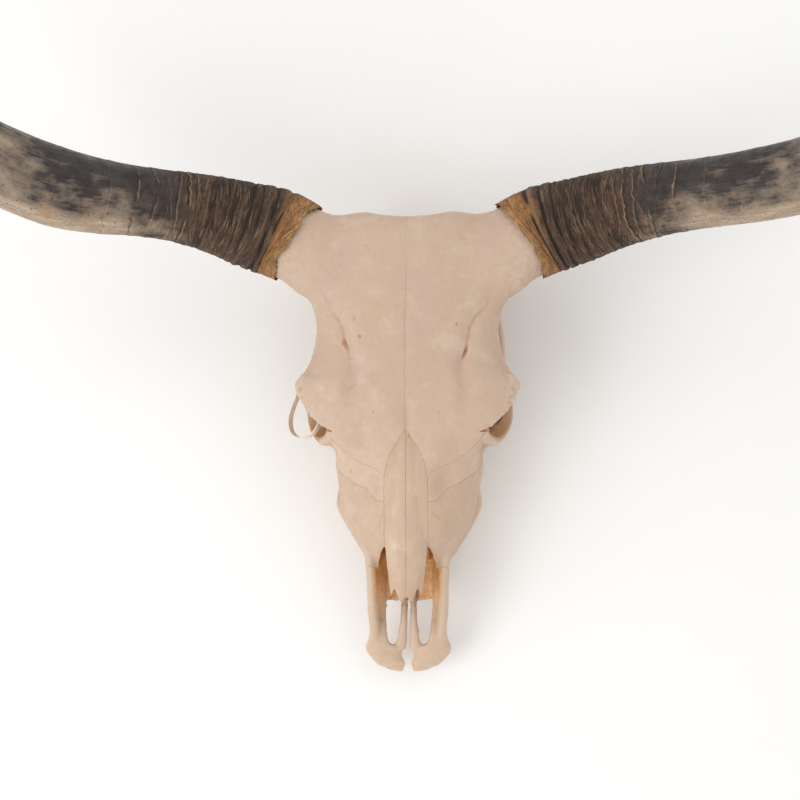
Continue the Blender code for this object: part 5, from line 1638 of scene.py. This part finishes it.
class SKULL_OT_horns(bpy.types.Operator):
    """Builds the two horn sheaths"""

    bl_idname = "skull.horns"
    bl_label = "Horn sheaths"

    def execute(self, context):
        sizes, look = context.scene.skull_horn, horn_material(context.scene.skull_looks)
        for label, side, rows, seed in (("left", 1, HORN_LEFT, 100),
                                        ("right", -1, HORN_RIGHT, 200)):
            form, masks = sheath(rows, side, sizes, seed)
            obj = put_mesh("sheath_" + label, form)
            kept = obj.data.attributes.new("straight", "FLOAT_VECTOR", "POINT")
            kept.data.foreach_set("vector", masks.pop("straight").astype(np.float32).ravel())
            for name, values in masks.items():
                write_mask(obj.data, name, values)
            laid_down(obj, look, ["horn_sheath_" + label], sharp=70)
        return {"FINISHED"}


class SKULL_OT_band(bpy.types.Operator):
    """Builds the plastic band round the bar behind the right eye"""

    bl_idname = "skull.band"
    bl_label = "Plastic band"

    def execute(self, context):
        obj = put_mesh("band", strap(context.scene.skull_band))
        laid_down(obj, band_material(context.scene.skull_looks), ["plastic_band"], sharp=80)
        return {"FINISHED"}


class SKULL_OT_stage(bpy.types.Operator):
    """Lays the pale floor, hangs the soft lights and sets the camera over the forehead"""

    bl_idname = "skull.stage"
    bl_label = "Stage"

    def execute(self, context):
        scene, sizes = context.scene, context.scene.skull_stage
        corners = np.array([(-1, -1, 0), (1, -1, 0), (1, 1, 0), (-1, 1, 0)]) * FLOOR_REACH
        floor = put_mesh("floor", (corners, np.array([(0, 1, 2, 3)]), np.zeros((0, 3), int)))
        floor.data.materials.append(floor_material())

        world = bpy.data.worlds.new("Soft sky")
        scene.world = world
        world.use_nodes = True
        sky = world.node_tree.nodes["Background"].inputs
        sky["Color"].default_value = (1.0, 0.99, 0.97, 1.0)
        sky["Strength"].default_value = sizes.sky
        target = Vector((0.0, 0.0, 0.12))
        for name, at, size, share in (("key", (-1.7, -1.0, 1.9), 1.6, 1.0),
                                      ("fill", (1.5, 1.4, 2.2), 2.0, 0.3)):
            lamp = bpy.data.lights.new(name, "AREA")
            lamp.energy, lamp.size = sizes.key * share, size
            obj = linked(name, lamp)
            obj.location = at
            obj.rotation_euler = (target - Vector(at)).to_track_quat("-Z", "Y").to_euler()

        lens = bpy.data.cameras.new("camera")
        lens.sensor_width = 36.0
        lens.lens = 36.0 * sizes.distance / sizes.span
        camera = linked("camera", lens)
        back = Vector((math.sin(sizes.lean), 0.0, math.cos(sizes.lean)))
        across = Vector((0.0, 1.0, 0.0)).cross(back).normalized()
        eye = Vector(CAMERA_AIM) + back * sizes.distance
        turn = Matrix((across, back.cross(across), back)).transposed().to_4x4()
        camera.matrix_world = PLACE @ Matrix.Translation(eye) @ turn
        scene.camera = camera
        scene.view_settings.view_transform = "Standard"
        return {"FINISHED"}


STEPS = (SKULL_OT_bones, SKULL_OT_teeth, SKULL_OT_horns, SKULL_OT_band, SKULL_OT_stage)
GROUPS = {"skull_bone": BoneSizes, "skull_horn": HornSizes, "skull_band": BandSizes,
          "skull_looks": Looks, "skull_stage": StageSizes}


class SKULL_PT_panel(bpy.types.Panel):
    """Lists the steps, the sizes and the colours"""

    bl_idname = "SKULL_PT_panel"
    bl_label = "Long-horned bull skull"
    bl_space_type = "VIEW_3D"
    bl_region_type = "UI"
    bl_category = "Skull"

    def draw(self, context):
        for step_class in STEPS:
            self.layout.operator(step_class.bl_idname)
        for name, group in GROUPS.items():
            box = self.layout.box()
            for field in group.__annotations__:
                box.prop(getattr(context.scene, name), field)


def register():
    for one in (*GROUPS.values(), *STEPS, SKULL_PT_panel):
        bpy.utils.register_class(one)
    for name, group in GROUPS.items():
        setattr(bpy.types.Scene, name, PointerProperty(type=group))


def unregister():
    for name in GROUPS:
        delattr(bpy.types.Scene, name)
    for one in reversed((*GROUPS.values(), *STEPS, SKULL_PT_panel)):
        bpy.utils.unregister_class(one)


def main():
    register()
    for name in ("bones", "teeth", "horns", "band", "stage"):
        getattr(bpy.ops.skull, name)()


if __name__ == "__main__":
    main()
